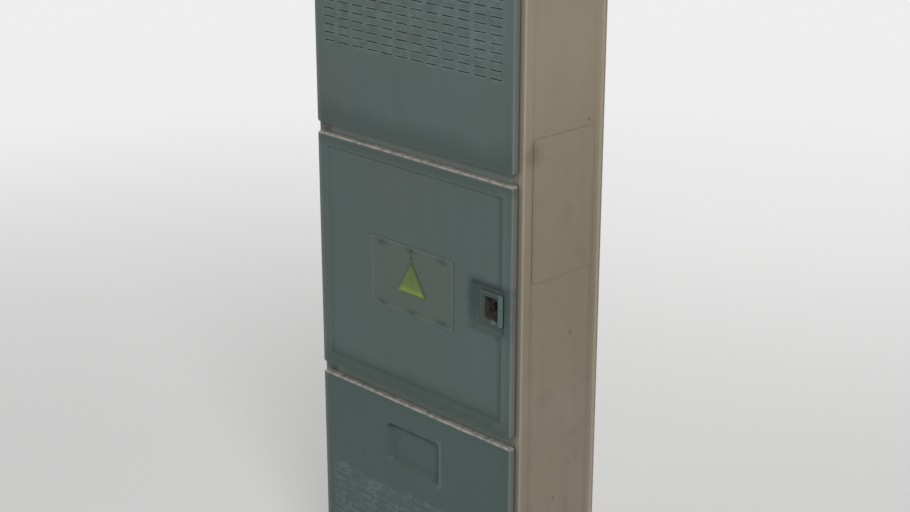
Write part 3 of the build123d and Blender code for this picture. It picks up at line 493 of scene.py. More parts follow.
# %% [markdown]
# Rain washes dust into the ventilation slots: their lips are paler with dust and painted light, the sills
# that face the sky carry a painted highlight, and the paint between them is mottled. The slots stand in a
# regular
# field, so no list of places is needed: Wrap folds the whole field onto one slot, and a rectangle round that
# slot is the mask. There are twelve columns, 38 mm apart, and eleven rows, 14.75 mm apart.

# %% Pale lips of the slots
slot_run, slot_rise = 0.038, 0.01475
slot_length = 0.028
slot_columns, slot_rows = 12, 11
field_half = ((slot_columns - 1) / 2 * slot_run + slot_length / 2, (slot_rows - 1) / 2 * slot_rise)


def slot_dust_and_light(tree, base, field_height):
    """Dust and painted light on every slot's lips, in mottled paint; field_height is the height of the middle
    row.
    """
    height = calc(tree, "SUBTRACT", along(tree, 2), field_height)
    sideways = calc(tree, "SUBTRACT", along(tree, 0), slot_run / 2)
    across = calc(tree, "ABSOLUTE", calc(tree, "WRAP", sideways, slot_run / 2, -slot_run / 2))
    upright = calc(tree, "ABSOLUTE", calc(tree, "WRAP", height, slot_rise / 2, -slot_rise / 2))
    lip = times(tree, ease(tree, across, 0.017, 0.0145), ease(tree, upright, 0.0042, 0.0016))
    wide, tall = field_half
    inside = ease(tree, calc(tree, "ABSOLUTE", along(tree, 0)), wide + 0.006, wide + 0.003)
    rows = ease(tree, calc(tree, "ABSOLUTE", height), tall + 0.00725, tall + 0.00425)
    inside = times(tree, inside, rows)
    patchy = ease(tree, noise(tree, object_place(tree), 24.0, 4.0), 0.3, 0.65, 0.45, 1.0)
    mask = times(tree, times(tree, lip, inside), patchy)
    # Paler lips: dust and painted light.
    base = tint(tree, base, mask, 0.62, paint(104, 120, 116))
    mottle = noise(tree, object_place(tree), 62.0, 4.0, 0.7)
    pale = times(tree, inside, ease(tree, mottle, 0.5, 0.66))
    base = tint(tree, base, pale, 0.4, paint(104, 121, 116))
    dark = times(tree, inside, ease(tree, mottle, 0.48, 0.34))
    base = tint(tree, base, dark, 0.35, paint(58, 72, 68))
    # The sills that face the sky: a painted highlight.
    sill_highlight = times(tree, ease(tree, facing_up(tree), 0.4, 0.8), mask)
    return tint(tree, base, sill_highlight, 0.9, paint(158, 166, 158))


print("slot field", [round(2 * half / mm) for half in field_half], "mm")


# %% [markdown]
# Every door gets an enamel of its own, with the marks that all share and those that only it has. The top door
# has few of these: it is a touch greener and lighter towards its top, where its slots are, as painted light.

# %% The top door
door_colours = (paint(77, 94, 92), paint(82, 92, 88), paint(96, 110, 106))
door_enamel = {}


def top_marks(tree, base):
    """The top door is a touch greener and lighter towards its top, as painted light."""
    base = outline_marks(tree, base, box_of("door_top"))
    high = along(tree, 2)
    # Greener and lighter towards the top: painted light.
    base = tint(tree, base, ease(tree, high, 1.12, 1.25), 0.35, paint(84, 103, 99))
    return slot_dust_and_light(tree, base, box_of("door_top")[0][2])


door_enamel["top"] = enamel(
    "door_enamel_top", *door_colours, box_of("door_top"), 0.2, 0.22, seed=16.7, marks=top_marks
)
print("pale line along", round(2000 * box_of("door_top")[1][0]), "mm of door")


# %% [markdown]
# The middle door carries most of the marks, and it is a little darker than the top door, as painted shade.
# Its skin is pressed back inside a border, and dirt and painted shade lie in that step, most of all at the
# right and along the foot, with a faintly paler strip outside it at the right that is a painted highlight. A
# painted shadow lies just under the top edge. Round the latch, painted shade darkens the dish and a halo
# round it, and a small oil spot has run below it.

# %% Marks of the middle door
middle_box = box_of("door_middle")
dish_centre = tuple(middle + shift for middle, shift in zip(middle_box[0], (0.1915, 0.0, 0.0)))
door_border = 24 * mm


def middle_marks(tree, base):
    """Painted shade on the door, in the step with its grime, under the top edge and in the dish; a painted
    highlight; oil.
    """
    # The middle door is a little darker: painted shade.
    base = mix(tree, 0.3, base, paint(70, 87, 84))
    base = outline_marks(tree, base, middle_box)
    half = (middle_box[1][0] - door_border, free, middle_box[1][2] - door_border)
    field = use(tree, inside_of, Centre=middle_box[0], Half_Size=half)
    # Dirt and painted shade in the step, most at the right and along the foot.
    step = band(tree, field["Depth"], -0.003, 0.002, 0.017, 0.004)
    right = ease(tree, field["Across"], 0.9, 0.97)
    low = ease(tree, field["Up"], -0.9, -0.97)
    heavy = calc(tree, "MAXIMUM", right, times(tree, low, 0.8))
    base = tint(tree, base, times(tree, step, heavy), 0.5, paint(48, 62, 56))
    high = along(tree, 2)
    top = middle_box[0][2] + middle_box[1][2]
    # A painted shadow just under the top edge.
    painted_shadow_under_top = band(tree, high, top - 0.026, top - 0.015, top - 0.003, top - 0.008)
    base = tint(tree, base, painted_shadow_under_top, 0.35, paint(48, 64, 57))
    # A faintly paler strip outside the step at the right: a painted highlight.
    strip = band(tree, field["Depth"], 0.0, -0.004, -0.02, -0.008)
    base = tint(tree, base, times(tree, strip, right), 0.12, paint(104, 122, 116))
    # Painted shade darkens the dish and a halo round it, most at its top.
    halo_centre = (dish_centre[0] + 0.004, *dish_centre[1:])
    dish = use(tree, inside_of, Centre=halo_centre, Half_Size=(0.053, free, 0.049))
    patchy = noise(tree, object_place(tree), 38.0, 4.0)
    halo = ease(tree, calc(tree, "MULTIPLY_ADD", patchy, 0.024, dish["Depth"]), 0.002, 0.022)
    halo = times(tree, halo, ease(tree, dish["Up"], -1.0, 0.2, 0.5, 1.0))
    base = tint(tree, base, halo, 0.85, paint(46, 60, 57))
    for across, below, radius in ((0.213, 0.052, 0.007), (0.205, 0.047, 0.004)):
        centre = (middle_box[0][0] + across, middle_box[0][1] - 0.005, middle_box[0][2] - below)
        base = stained(tree, base, centre, radius, 0.6, paint(40, 58, 54))
    return base


door_enamel["middle"] = enamel(
    "door_enamel_middle", *door_colours, middle_box, 0.2, 0.22, seed=9.0, marks=middle_marks
)
print("dish centre", [round(1000 * value, 1) for value in dish_centre], "mm")

# %% [markdown]
# The bottom door is the darkest, as painted shade, and darker still near the ground, where painted shade and
# splash dirt meet. Its pull is a pressed dish: inside it a painted shadow lies along the top and the right, a
# little painted shade lies on its ledge, and its right rim carries a painted highlight on rubbed wear.

# %% Marks of the bottom door
bottom_box = box_of("door_bottom")
grip_centre = (bottom_box[0][0], bottom_box[0][1], bottom_box[0][2] + bottom_box[1][2] - 0.094)
bottom_slots = bottom_box[0][2] + bottom_box[1][2] - 0.189 - field_half[1]


def bottom_marks(tree, base):
    """Painted shade on the door and near the ground, with splash, and painted shadow and highlight in the
    pull.
    """
    # The bottom door is darker: painted shade.
    base = mix(tree, 0.9, base, paint(65, 82, 80))
    base = outline_marks(tree, base, bottom_box)
    grip = use(tree, inside_of, Centre=grip_centre, Half_Size=(0.07, free, 0.042))
    # A painted shadow inside the dish along its top and right walls.
    edge = band(tree, grip["Depth"], -0.003, 0.004, 0.022, 0.006)
    corner = ease(tree, calc(tree, "MAXIMUM", grip["Across"], grip["Up"]), 0.55, 0.9)
    base = tint(tree, base, times(tree, edge, corner), 0.6, paint(40, 54, 50))
    # A little painted shade on the dish's ledge.
    ledge = times(tree, edge, ease(tree, grip["Up"], -0.7, -0.8))
    base = tint(tree, base, ledge, 0.2, paint(54, 66, 63))
    # A painted highlight on the rubbed right rim of the dish.
    rim = band(tree, grip["Depth"], 0.0, -0.003, -0.009, -0.004)
    right_rim_highlight = times(tree, rim, ease(tree, grip["Across"], 0.9, 1.0))
    base = tint(tree, base, right_rim_highlight, 0.4, paint(104, 120, 116))
    # Darker near the ground: painted shade and splash dirt.
    high = along(tree, 2)
    base = tint(tree, base, ease(tree, high, 0.4, 0.07), 0.3, paint(66, 68, 58))
    return slot_dust_and_light(tree, base, bottom_slots)


door_enamel["bottom"] = enamel(
    "door_enamel_bottom", *door_colours, bottom_box, 0.2, 0.25, 0.1, seed=1.3, marks=bottom_marks
)
print("pull centre", [round(1000 * value, 1) for value in grip_centre], "mm")

# %% [markdown]
# ### Rails, sign plate, latch and plinth
# The rails between the doors are a paler grey-green than the doors, which is painted light in the gaps. The
# sign plate is bare of any sign; it differs from the door only by a slight yellow and by dirt round its
# rivets, which stand 80 mm apart in two rows. The latch housing is darker. Its pocket is painted dark inside
# as shade, with rust that the key has dragged about at its left; its right rim is teal with rubbed wear and a
# painted highlight, and a painted highlight sits in one spot below the pocket.

# %% Marks of the sign plate
sign_box = box_of("sign_plate")
rivet_run, rivet_inset = 80 * mm, 7 * mm


def sign_marks(tree, base):
    """Smudges round the six rivets: Wrap folds the columns onto one, and both rows mirror at the middle."""
    place = put(tree, "SeparateXYZ", {0: vector(tree, "SUBTRACT", object_place(tree), sign_box[0])}).outputs
    across = calc(tree, "WRAP", place[0], rivet_run / 2, -rivet_run / 2)
    rise = calc(tree, "SUBTRACT", calc(tree, "ABSOLUTE", place[2]), sign_box[1][2] - rivet_inset)
    flat = put(tree, "CombineXYZ", {0: times(tree, across, 0.5), 2: rise}).outputs[0]
    near = vector(tree, "LENGTH", flat, result="Value")
    frayed = calc(tree, "MULTIPLY_ADD", noise(tree, object_place(tree), 110.0, 4.0), 0.009, near)
    return tint(tree, base, ease(tree, frayed, 0.016, 0.007), 0.62, paint(52, 66, 61))


# %% Smaller enamels
# The rails are paler than the doors: painted light in the gaps.
painted_light_rail_colours = (paint(115, 126, 121), paint(112, 121, 116), paint(124, 132, 127))
painted_light_rail_enamel = enamel("painted_light_rail_enamel", *painted_light_rail_colours, box_of("divider_lower"), 0.2, 0.1, seed=2.2)
sign_colours = (paint(79, 92, 86), paint(80, 91, 84), paint(106, 120, 114))
sign_enamel = enamel("sign_enamel", *sign_colours, sign_box, 0.32, 0.2, seed=4.4, marks=sign_marks)
plinth_colours = (paint(60, 60, 57), paint(68, 66, 61), paint(104, 100, 92))
plinth_enamel = enamel("plinth_enamel", *plinth_colours, box_of("plinth"), 0.6, rust=0.25, chips=0.6)
print("sign plate measures", [round(2 * half / mm, 1) for half in sign_box[1]], "mm")

# %% Marks of the latch housing
latch_box = box_of("latch_housing")


def latch_marks(tree, base):
    """Painted shade in the pocket with rust at its left, a painted highlight on the rim and on one spot
    below.
    """
    pocket = use(tree, inside_of, Centre=latch_box[0], Half_Size=(0.016, free, 0.021))
    inner = ease(tree, pocket["Depth"], -0.0005, 0.001)
    patchy = calc(tree, "MULTIPLY_ADD", noise(tree, object_place(tree), 70.0, 5.0), 0.9, -0.45)
    left = ease(tree, calc(tree, "ADD", pocket["Across"], patchy), 0.25, -0.35)
    rust = mix(tree, noise(tree, object_place(tree), 500.0, 4.0), paint(96, 82, 76), paint(66, 57, 53))
    # Painted shade inside the pocket; rust at its left goes over it.
    base = tint(tree, base, inner, 0.85, paint(36, 47, 44))
    base = tint(tree, base, times(tree, inner, left), 0.9, rust)
    # A painted highlight on the rubbed right rim of the housing.
    outer = use(tree, inside_of, Centre=latch_box[0], Half_Size=(0.028, free, 0.03))
    rim = ease(tree, outer["Across"], 0.58, 0.68)
    rim = times(tree, rim, ease(tree, pocket["Depth"], 0.0, -0.001))
    base = tint(tree, base, rim, 0.6, paint(86, 118, 110))
    # A pale spot below the pocket: a painted highlight.
    highlight_spot = (latch_box[0][0] + 0.006, latch_box[0][1] - latch_box[1][1], latch_box[0][2] - 0.0245)
    return stained(tree, base, highlight_spot, 0.008, 0.3, paint(140, 138, 130))


latch_colours = (paint(58, 71, 68), paint(52, 63, 59), paint(76, 94, 88))
latch_enamel = enamel("latch_enamel", *latch_colours, latch_box, 0.3, 0.5, 0.2, marks=latch_marks)
print("enamels made", len([m for m in bpy.data.materials if "enamel" in m.name]))


# %% [markdown]
# ### Metals
# Zinc plate is a bright skin that dulls to grey blooms. It is a metal, so its colour lives in the
# reflection, and most of the interest is in how the roughness changes. Galvanised sheet has large crystals
# instead, the spangle: a Voronoi pattern whose cells differ in brightness.

# %% Plated and bare metals
def dull_metal(name, bright, dull, rough=0.38, bloom=18.0, grime=0.35, spangle=0.0, rust=0.0, cloudy=0.22):
    """Metal with dull blooms, grime and painted shade in its corners and, if asked for, spangle or a rust
    film.
    """
    made, tree, shader = start_material(name, Metallic=1.0)
    tone = use(tree, clouds, Scale=bloom, Seed=2.0)
    dust_grime_and_shade = use(tree, grime_and_shade, Distance=0.012, Amount=grime)
    base = mix(tree, tone["Cloud"], bright, dull)
    spread = calc(tree, "MULTIPLY_ADD", tone["Cloud"], cloudy, rough)
    if spangle:
        crystals = put(tree, "TexVoronoi", {"Vector": object_place(tree), "Scale": 110.0}).outputs["Color"]
        crystal = put(tree, "SeparateColor", {0: crystals}).outputs[0]
        base = tint(tree, base, crystal, spangle, paint(116, 122, 128))
        spread = calc(tree, "MULTIPLY_ADD", crystal, 0.05, spread)
    if rust:
        film = ease(tree, noise(tree, object_place(tree), 120.0, 6.0, 0.7), 0.62 - 0.3 * rust, 0.66)
        base = tint(tree, base, film, 0.95, mix(tree, tone["Grain"], paint(78, 56, 44), paint(50, 42, 38)))
        spread = calc(tree, "MULTIPLY_ADD", film, 0.4, spread)
    base = tint(tree, base, dust_grime_and_shade["Dust"], 0.15, paint(120, 114, 102))
    # Grime and painted shade in the corners.
    base = tint(tree, base, dust_grime_and_shade["Grime"], 1.0, paint(52, 48, 42))
    tree.links.new(base, shader.inputs["Base Color"])
    spread = calc(tree, "MULTIPLY_ADD", dust_grime_and_shade["Grime"], 0.3, spread, clamp=True)
    tree.links.new(spread, shader.inputs["Roughness"])
    bump(tree, shader, use(tree, coat, Peel=0.00001, Wave=0.0, Scratch=0.00001)["Height"], 0.0006)
    return made


zinc = dull_metal("dull_zinc", paint(176, 178, 180), paint(140, 142, 142), rust=0.2)
galvanised = dull_metal(
    "galvanised_sheet", paint(170, 174, 176), paint(162, 167, 170), 0.5, 9.0, 0.3, 0.2, cloudy=0.05
)
copper = dull_metal("tarnished_copper", paint(190, 132, 96), paint(146, 102, 76), 0.3, 30.0)
brass = dull_metal("dull_brass", paint(186, 160, 96), paint(142, 120, 78), 0.34, 40.0)
rusted = dull_metal("rusted_steel", paint(56, 54, 52), paint(44, 41, 39), 0.6, 40.0, 0.8, rust=0.9)
painted_rivet = dull_metal("painted_rivet", paint(92, 104, 99), paint(80, 90, 86), 0.6, 40.0, 0.5)
print("metals made", [metal.name for metal in (zinc, galvanised, copper, brass, rusted, painted_rivet)])


# %% [markdown]
# ### Mouldings, rubber, foam and ceramic
# These don't reflect like metal: their colour is in the body of the material, and the surface only adds a
# dull sheen. A fine grain in the bump tells them apart from paint.

# %% Mouldings and their like
def moulding(name, colour, shade, rough, grain=0.00003, grain_scale=900.0, dust=0.4, gloss=0.35, marks=None):
    """A dull non-metal with a fine grain, a slightly uneven tone, painted highlights on its edges, and dust,
    grime and painted shade in its corners.
    """
    made, tree, shader = start_material(name, Specular_IOR_Level=gloss)
    tone = use(tree, clouds, Scale=12.0, Seed=5.0)
    dust_grime_and_shade = use(tree, grime_and_shade, Distance=0.015, Amount=dust)
    edges = use(tree, chipped, Radius=0.0009, Amount=0.25)
    base = mix(tree, tone["Cloud"], colour, shade)
    # A painted highlight along every edge.
    base = tint(tree, base, edges["Edge"], 0.18, paint(190, 188, 182))
    if marks:
        base = marks(tree, base)
    base = tint(tree, base, dust_grime_and_shade["Dust"], 0.35, paint(150, 145, 132))
    # Grime and painted shade in the corners.
    base = tint(tree, base, dust_grime_and_shade["Grime"], 1.0, paint(60, 57, 50))
    tree.links.new(base, shader.inputs["Base Color"])
    spread = calc(tree, "MULTIPLY_ADD", tone["Grain"], 0.18, rough)
    spread = calc(tree, "MULTIPLY_ADD", dust_grime_and_shade["Grime"], 0.2, spread, clamp=True)
    tree.links.new(spread, shader.inputs["Roughness"])
    pits = noise(tree, object_place(tree), grain_scale, 2.0)
    bump(tree, shader, times(tree, pits, grain), 0.0007)
    return made


knob_box = box_of("switch_knob")


def knob_marks(tree, base):
    """A white line down the bar of the knob, which shows where it points."""
    line = use(tree, inside_of, Centre=knob_box[0], Half_Size=(0.0011, free, 0.03))
    front = ease(tree, along(tree, 1), 0.0006, 0.0002)
    line_mask = times(tree, ease(tree, line["Depth"], -0.0002, 0.0002), front)
    upper = times(tree, line_mask, ease(tree, line["Up"], -0.05, 0.0))
    return tint(tree, base, upper, 0.8, paint(196, 192, 180))


grey_moulding = moulding("grey_moulding", paint(104, 107, 110), paint(92, 95, 98), 0.5)
black_moulding = moulding("black_moulding", paint(30, 30, 32), paint(38, 38, 38), 0.42)
knob_moulding = moulding(
    "knob_moulding", paint(24, 24, 25), paint(30, 30, 30), 0.28, 0.00001, marks=knob_marks
)
grommet_rubber = moulding("grommet_rubber", paint(32, 32, 32), paint(42, 41, 39), 0.66, 0.00004, 700.0)
foam = moulding("seal_foam", paint(34, 34, 34), paint(46, 45, 43), 0.85, 0.0005, 420.0, 0.3, 0.2)
ceramic = moulding("fuse_ceramic", paint(214, 208, 192), paint(200, 192, 172), 0.32, 0.00002, 160.0, 0.5, 0.5)
print("materials so far", len(bpy.data.materials))

# %% [markdown]
# ### The yellow plate
# The triangle on the sign plate is a bare yellow plate. It is dull and greenish, a little brighter along its
# foot, darker round its rim where the paint has gathered dirt, and browner towards the screw at its tip. The
# rim comes from the distance to the triangle's three sides: each side is a line in the XZ plane, and a dot
# product gives the distance.

# %% The yellow plate's finish
yellow_plate, tree, shader = start_material("yellow_plate", Specular_IOR_Level=0.35)
low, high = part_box("sign_triangle")
place = object_place(tree)
tip = ((low[0] + high[0]) / 2, 0.0, high[2] + 0.003)
spans = []
for direction, anchor in (((0, 0, 1), tuple(low)), ((0.866, 0, -0.5), tip), ((-0.866, 0, -0.5), tip)):
    span = vector(tree, "DOT_PRODUCT", vector(tree, "SUBTRACT", place, anchor), direction, result="Value")
    spans.append(calc(tree, "ABSOLUTE", span))
wobble = calc(tree, "MULTIPLY_ADD", noise(tree, place, 120.0, 4.0), 0.004, -0.002)
inner = calc(tree, "ADD", calc(tree, "MINIMUM", calc(tree, "MINIMUM", *spans[:2]), spans[2]), wobble)
cloud = use(tree, clouds, Scale=16.0, Seed=9.0)
yellow = mix(tree, cloud["Cloud"], paint(104, 125, 60), paint(92, 110, 58))
up = put(tree, "SeparateXYZ", {0: place}).outputs[2]
yellow = tint(tree, yellow, ease(tree, up, low[2] + 0.016, low[2] + 0.004), 0.5, paint(140, 160, 66))
yellow = tint(tree, yellow, ease(tree, up, low[2] + 0.016, high[2]), 0.75, paint(84, 84, 50))
yellow = stained(tree, yellow, (tip[0], low[1], low[2] + 0.03), 0.013, 0.35, paint(70, 74, 44))
yellow = tint(tree, yellow, ease(tree, inner, 0.0058, 0.0025), 0.7, paint(62, 72, 58))
edges = use(tree, chipped, Radius=0.001, Amount=0.5)
yellow = tint(tree, yellow, edges["Chip"], 0.7, paint(120, 120, 110))
# Grime and painted shade in the corners of the plate.
yellow = tint(tree, yellow, use(tree, grime_and_shade, Distance=0.01, Amount=0.5)["Grime"], 1.0, paint(44, 46, 36))
tree.links.new(yellow, shader.inputs["Base Color"])
tree.links.new(calc(tree, "MULTIPLY_ADD", cloud["Grain"], 0.3, 0.4), shader.inputs["Roughness"])
bump(tree, shader, use(tree, coat, Peel=0.00002, Wave=0.0, Scratch=0.00004)["Height"], 0.0004)
print("triangle measures", [round(1000 * (b - a), 1) for a, b in zip(low, high)], "mm")

# %% [markdown]
# ## Dressing the solids
# A CAD node whose shape is right keeps its mesh and only takes a material. The table below pairs the start
# of a node's name with its finish, and the first that fits wins.

# %% Give every node its finish
finishes = [
    ("door_hinge", zinc), ("case_hinge", zinc), ("hinge_pins", zinc), ("mounting_plate", galvanised),
    ("din_rail", galvanised), ("side_cover_nuts", zinc), ("plate_nuts", zinc),
    ("latch_housing", latch_enamel), ("latch_spindle", rusted), ("latch", zinc), ("cam_screw", zinc),
    ("strike", zinc), ("triangle_screw", painted_rivet), ("sign_triangle", yellow_plate),
    ("sign_plate", sign_enamel), ("sign_rivets", painted_rivet), ("seal", foam),
    ("cable_grommets", grommet_rubber), ("catch", black_moulding), ("terminal_strip", grey_moulding),
    ("fuse_base", grey_moulding), ("main_switch", grey_moulding), ("switch_knob", knob_moulding),
    ("fuse_link", ceramic), ("fuse_clips", copper), ("busbar", copper), ("earth_bar", brass),
    ("divider", painted_light_rail_enamel), ("plinth", plinth_enamel),
    *[(f"door_{name}", door_enamel[name]) for name in doors], ("", case_enamel),
]
for name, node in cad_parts.items():
    finish = next(material for start, material in finishes if name.startswith(start))
    for holder in node.material_slots:
        holder.material = finish
print("dressed", len(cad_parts), "nodes in", len({f.name for _, f in finishes}), "finishes")

# %% [markdown]
# ## Pieces modelled anew
# The CAD solids of soft and small things are plain stand-ins. The pieces below take their place, each
# within the box of its solid, and the screws are added to solids that have none. `model` starts a piece, lets
# a function shape it in bmesh, recalculates the normals so that all faces point outwards, and hangs the piece
# on its body.

# %% Helpers for new pieces
def model(name, shape, finish, body, slot, *stands_for):
    bm = bmesh.new()
    shape(bm)
    bmesh.ops.remove_doubles(bm, verts=bm.verts, dist=1e-6)
    bmesh.ops.recalc_face_normals(bm, faces=bm.faces)
    mesh = bpy.data.meshes.new(name)
    bm.to_mesh(mesh)
    bm.free()
    mesh.shade_smooth()
    mesh.set_sharp_from_angle(angle=math.radians(38))
    mesh.materials.append(finish)
    piece = bpy.data.objects.new(name, mesh)
    bpy.context.scene.collection.objects.link(piece)
    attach(piece, body)
    if stands_for:
        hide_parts(*stands_for)
    print(name, len(mesh.polygons), "faces")


def corners(name):
    """The lowest and the highest corner of a node, in mm."""
    return [[value / mm for value in corner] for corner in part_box(name)]


def once(parts):
    """The parts in their order, each only once; a set would list them in another order at every run."""
    return list(dict.fromkeys(parts))


def rounded_block(bm, centre, size, radius, segments):
    """A block with all its edges rounded, added to bm; centre and size in mm."""
    made = bmesh.ops.create_cube(bm, size=mm)["verts"]
    bmesh.ops.scale(bm, vec=size, verts=made)
    bmesh.ops.translate(bm, vec=Vector(centre) * mm, verts=made)
    edges = once(edge for vert in made for edge in vert.link_edges)
    bmesh.ops.bevel(
        bm, geom=edges, offset=radius * mm, segments=segments, profile=0.5, affect="EDGES", material=-1
    )


# %% [markdown]
# ### Door seals
# Each door closes on a strip of black sponge that is glued to the back of its skin. A plane with rounded
# corners is inset by the strip's width, its middle is taken out, and the ring that is left is extruded and
# gets a rounded crest. A tube along a curve would be as quick, but it wouldn't lie flat on the door.

# %% Sponge seals
def seal_shape(low, high):
    """A ring of sponge between two corners of a box, flat on the door and round towards the case."""
    def shape(bm):
        grid = bmesh.ops.create_grid(bm, x_segments=1, y_segments=1, size=0.5)["verts"]
        bmesh.ops.rotate(bm, verts=grid, matrix=Matrix.Rotation(math.radians(90), 3, "X"))
        bmesh.ops.scale(bm, vec=(high[0] - low[0], 1.0, high[2] - low[2]), verts=grid)
        bmesh.ops.translate(bm, vec=((low[0] + high[0]) / 2, low[1], (low[2] + high[2]) / 2), verts=grid)
        bmesh.ops.bevel(
            bm, geom=grid, offset=14 * mm, segments=5, profile=0.5, affect="VERTICES", material=-1
        )
        middle = bm.faces[:]
        bmesh.ops.inset_region(bm, faces=middle, thickness=9 * mm, use_boundary=True, use_even_offset=True)
        bmesh.ops.delete(bm, geom=middle, context="FACES")
        ring = bmesh.ops.extrude_face_region(bm, geom=bm.faces[:])["geom"]
        crest = [part for part in ring if isinstance(part, bmesh.types.BMVert)]
        bmesh.ops.translate(bm, vec=(0, high[1] - low[1], 0), verts=crest)
        bm.normal_update()
        rims = [
            edge for edge in bm.edges
            if all(abs(vert.co.y - high[1]) < 1e-6 for vert in edge.verts)
            and len(edge.link_faces) == 2 and edge.calc_face_angle(0) > 1
        ]
        bmesh.ops.bevel(bm, geom=rims, offset=3.6 * mm, segments=4, profile=0.5, affect="EDGES", material=-1)
    return shape


for name in doors:
    low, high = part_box(f"seal_{name}")
    model(f"sponge_seal_{name}", seal_shape(low, high), foam, f"door_{name}", "seal_rubber", f"seal_{name}")

# %% [markdown]
# ### Fuse links
# A blade fuse is a square ceramic body with a metal blade through it, and a lug at each end that the
# handle grips. The body, the lugs and the blade are rounded blocks; the blades are a piece of their own,
# because they are metal. Two thin end plates close the body, each held by two small screws. All places are
# measured from the back of the fuse, which sits in its clips.

# %% Fuse bodies and blades
def fuse_body_shape(x, back, z):
    """The ceramic body of a fuse, with grooves that part its collars from its middle."""
    def shape(bm):
        rounded_block(bm, (x, back - 20.0, z), (26.4, 40.0, 48.0), 3.0, 4)
        for end in (-1, 1):
            rounded_block(bm, (x, back - 20.0, z + end * 21.0), (28.0, 40.0, 7.0), 2.0, 3)
    return shape


def fuse_metal_shape(x, back, z):
    """Blade, end plates, plate screws and gripping lugs of a fuse."""
    def shape(bm):
        rounded_block(bm, (x, back - 7.5, z), (6.0, 15.0, 86.0), 0.8, 2)
        for end in (-1, 1):
            rounded_block(bm, (x, back - 20.0, z + end * 25.2), (25.0, 36.0, 1.6), 0.5, 2)
            rounded_block(bm, (x, back - 31.5, z + end * 27.4), (14.0, 23.0, 1.8), 0.5, 2)
            rounded_block(bm, (x, back - 42.1, z + end * 25.4), (14.0, 1.8, 7.0), 0.5, 2)
            for side in (-9.5, 9.5):
                screw = Matrix.Translation(Vector((x + side, back - 8.7, z + end * 26.2)) * mm)
                bmesh.ops.create_cone(
                    bm, cap_ends=True, segments=12, radius1=2.2 * mm, radius2=2.2 * mm, depth=1.4 * mm,
                    matrix=screw,
                )
    return shape


for index in (1, 2, 3):
    node = f"fuse_link_{index}"
    low, high = corners(node)
    seat = ((low[0] + high[0]) / 2, high[1], (low[2] + high[2]) / 2)
    model(f"fuse_body_{index}", fuse_body_shape(*seat), ceramic, "case", "fuse_ceramic", node)
    model(f"fuse_blade_{index}", fuse_metal_shape(*seat), zinc, "case", "contact_metal", node)

# %% [markdown]
# ### Cable grommets
# A grommet is a turned shape: half its section, spun once round. Its dome is stepped, because a fitter cuts
# the rubber at the ring that suits the cable. The section is a chain of points, from under the dome out to
# the lip, round the groove for the sheet, and back over the rings to the tip. Each point is a radius and a
# height above the ground, in mm.

# %% Grommets
lip_radius = 24.0
grommet_section = [
    (0.0, 70.0), (6.0, 69.6), (12.0, 66.0), (16.5, 61.0), (17.7, 58.2), (23.2, 58.0), (lip_radius, 58.8),
    (lip_radius, 59.6), (19.6, 59.9), (19.6, 61.6), (lip_radius, 61.6), (lip_radius, 62.6), (23.0, 63.5),
    (19.8, 63.5), (18.6, 64.4), (18.2, 66.0), (15.4, 66.3), (15.0, 68.2), (12.2, 68.5), (11.8, 70.2),
    (9.0, 70.5), (8.6, 72.0), (4.0, 72.4), (0.0, 72.5),
]


def grommet_shape(bm):
    """Three grommets in a row, each spun from the section."""
    low, high = corners("cable_grommets")
    y = (low[1] + high[1]) / 2
    for x in (low[0] + lip_radius, (low[0] + high[0]) / 2, high[0] - lip_radius):
        points = [bm.verts.new(Vector((x + radius, y, height)) * mm) for radius, height in grommet_section]
        chain = [bm.edges.new(pair) for pair in zip(points, points[1:])]
        bmesh.ops.spin(
            bm, geom=points + chain, cent=Vector((x, y, 0)) * mm, axis=(0, 0, 1), angle=math.tau, steps=40,
            use_merge=True,
        )


model("stepped_grommets", grommet_shape, grommet_rubber, "case", "grommet_rubber", "cable_grommets")

# %% [markdown]
# ### Screws of the terminals and bars
# The terminals, the busbar and the earth bar are held by slotted screws. One function makes a screw of any
# size: a short cylinder is cut twice beside its middle, and the strip of cap between the cuts is pushed in
# to make the slot. They all face the doors.

# %% Slotted screws
def slotted_screw(bm, x, front, z, radius, height, slot=0.3):
    """A slotted cylinder head, added to bm, whose front is at y = front; sizes in mm."""
    made = bmesh.ops.create_cone(
        bm, cap_ends=True, segments=16, radius1=radius * mm, radius2=radius * 0.92 * mm, depth=height * mm
    )["verts"]
    geometry = made + once(part for vert in made for part in (*vert.link_edges, *vert.link_faces))
    half_slot = slot * radius / 2 * mm
    for side in (-half_slot, half_slot):
        cut = bmesh.ops.bisect_plane(bm, geom=geometry, plane_co=(side, 0, 0), plane_no=(1, 0, 0))
        geometry = once(geometry + cut["geom"])
    caps = [
        part for part in geometry if isinstance(part, bmesh.types.BMFace) and part.is_valid
        and part.normal.z > 0.9 and abs(part.calc_center_median().x) < half_slot
    ]
    pushed = bmesh.ops.extrude_face_region(bm, geom=caps)["geom"]
    sunk = [part for part in pushed if isinstance(part, bmesh.types.BMVert)]
    bmesh.ops.translate(bm, vec=(0, 0, -0.45 * height * mm), verts=sunk)
    bmesh.ops.delete(bm, geom=caps, context="FACES")
    joined = [vert for part in geometry if part.is_valid and hasattr(part, "verts") for vert in part.verts]
    whole = once(joined + sunk)
    bmesh.ops.rotate(bm, verts=whole, matrix=Matrix.Rotation(math.radians(90), 3, "X"))
    bmesh.ops.translate(bm, vec=Vector((x, front + height / 2, z)) * mm, verts=whole)


def terminal_screws(bm):
    """A screw at the bottom of each mouth, in two rows of twelve."""
    low, high = corners("terminal_strip")
    for column in range(12):
        for side in (-6.0, 6.0):
            z = (low[2] + high[2]) / 2 + side
            slotted_screw(bm, low[0] + 5.0 + 10.0 * column, low[1] + 1.2, z, 1.6, 1.6)


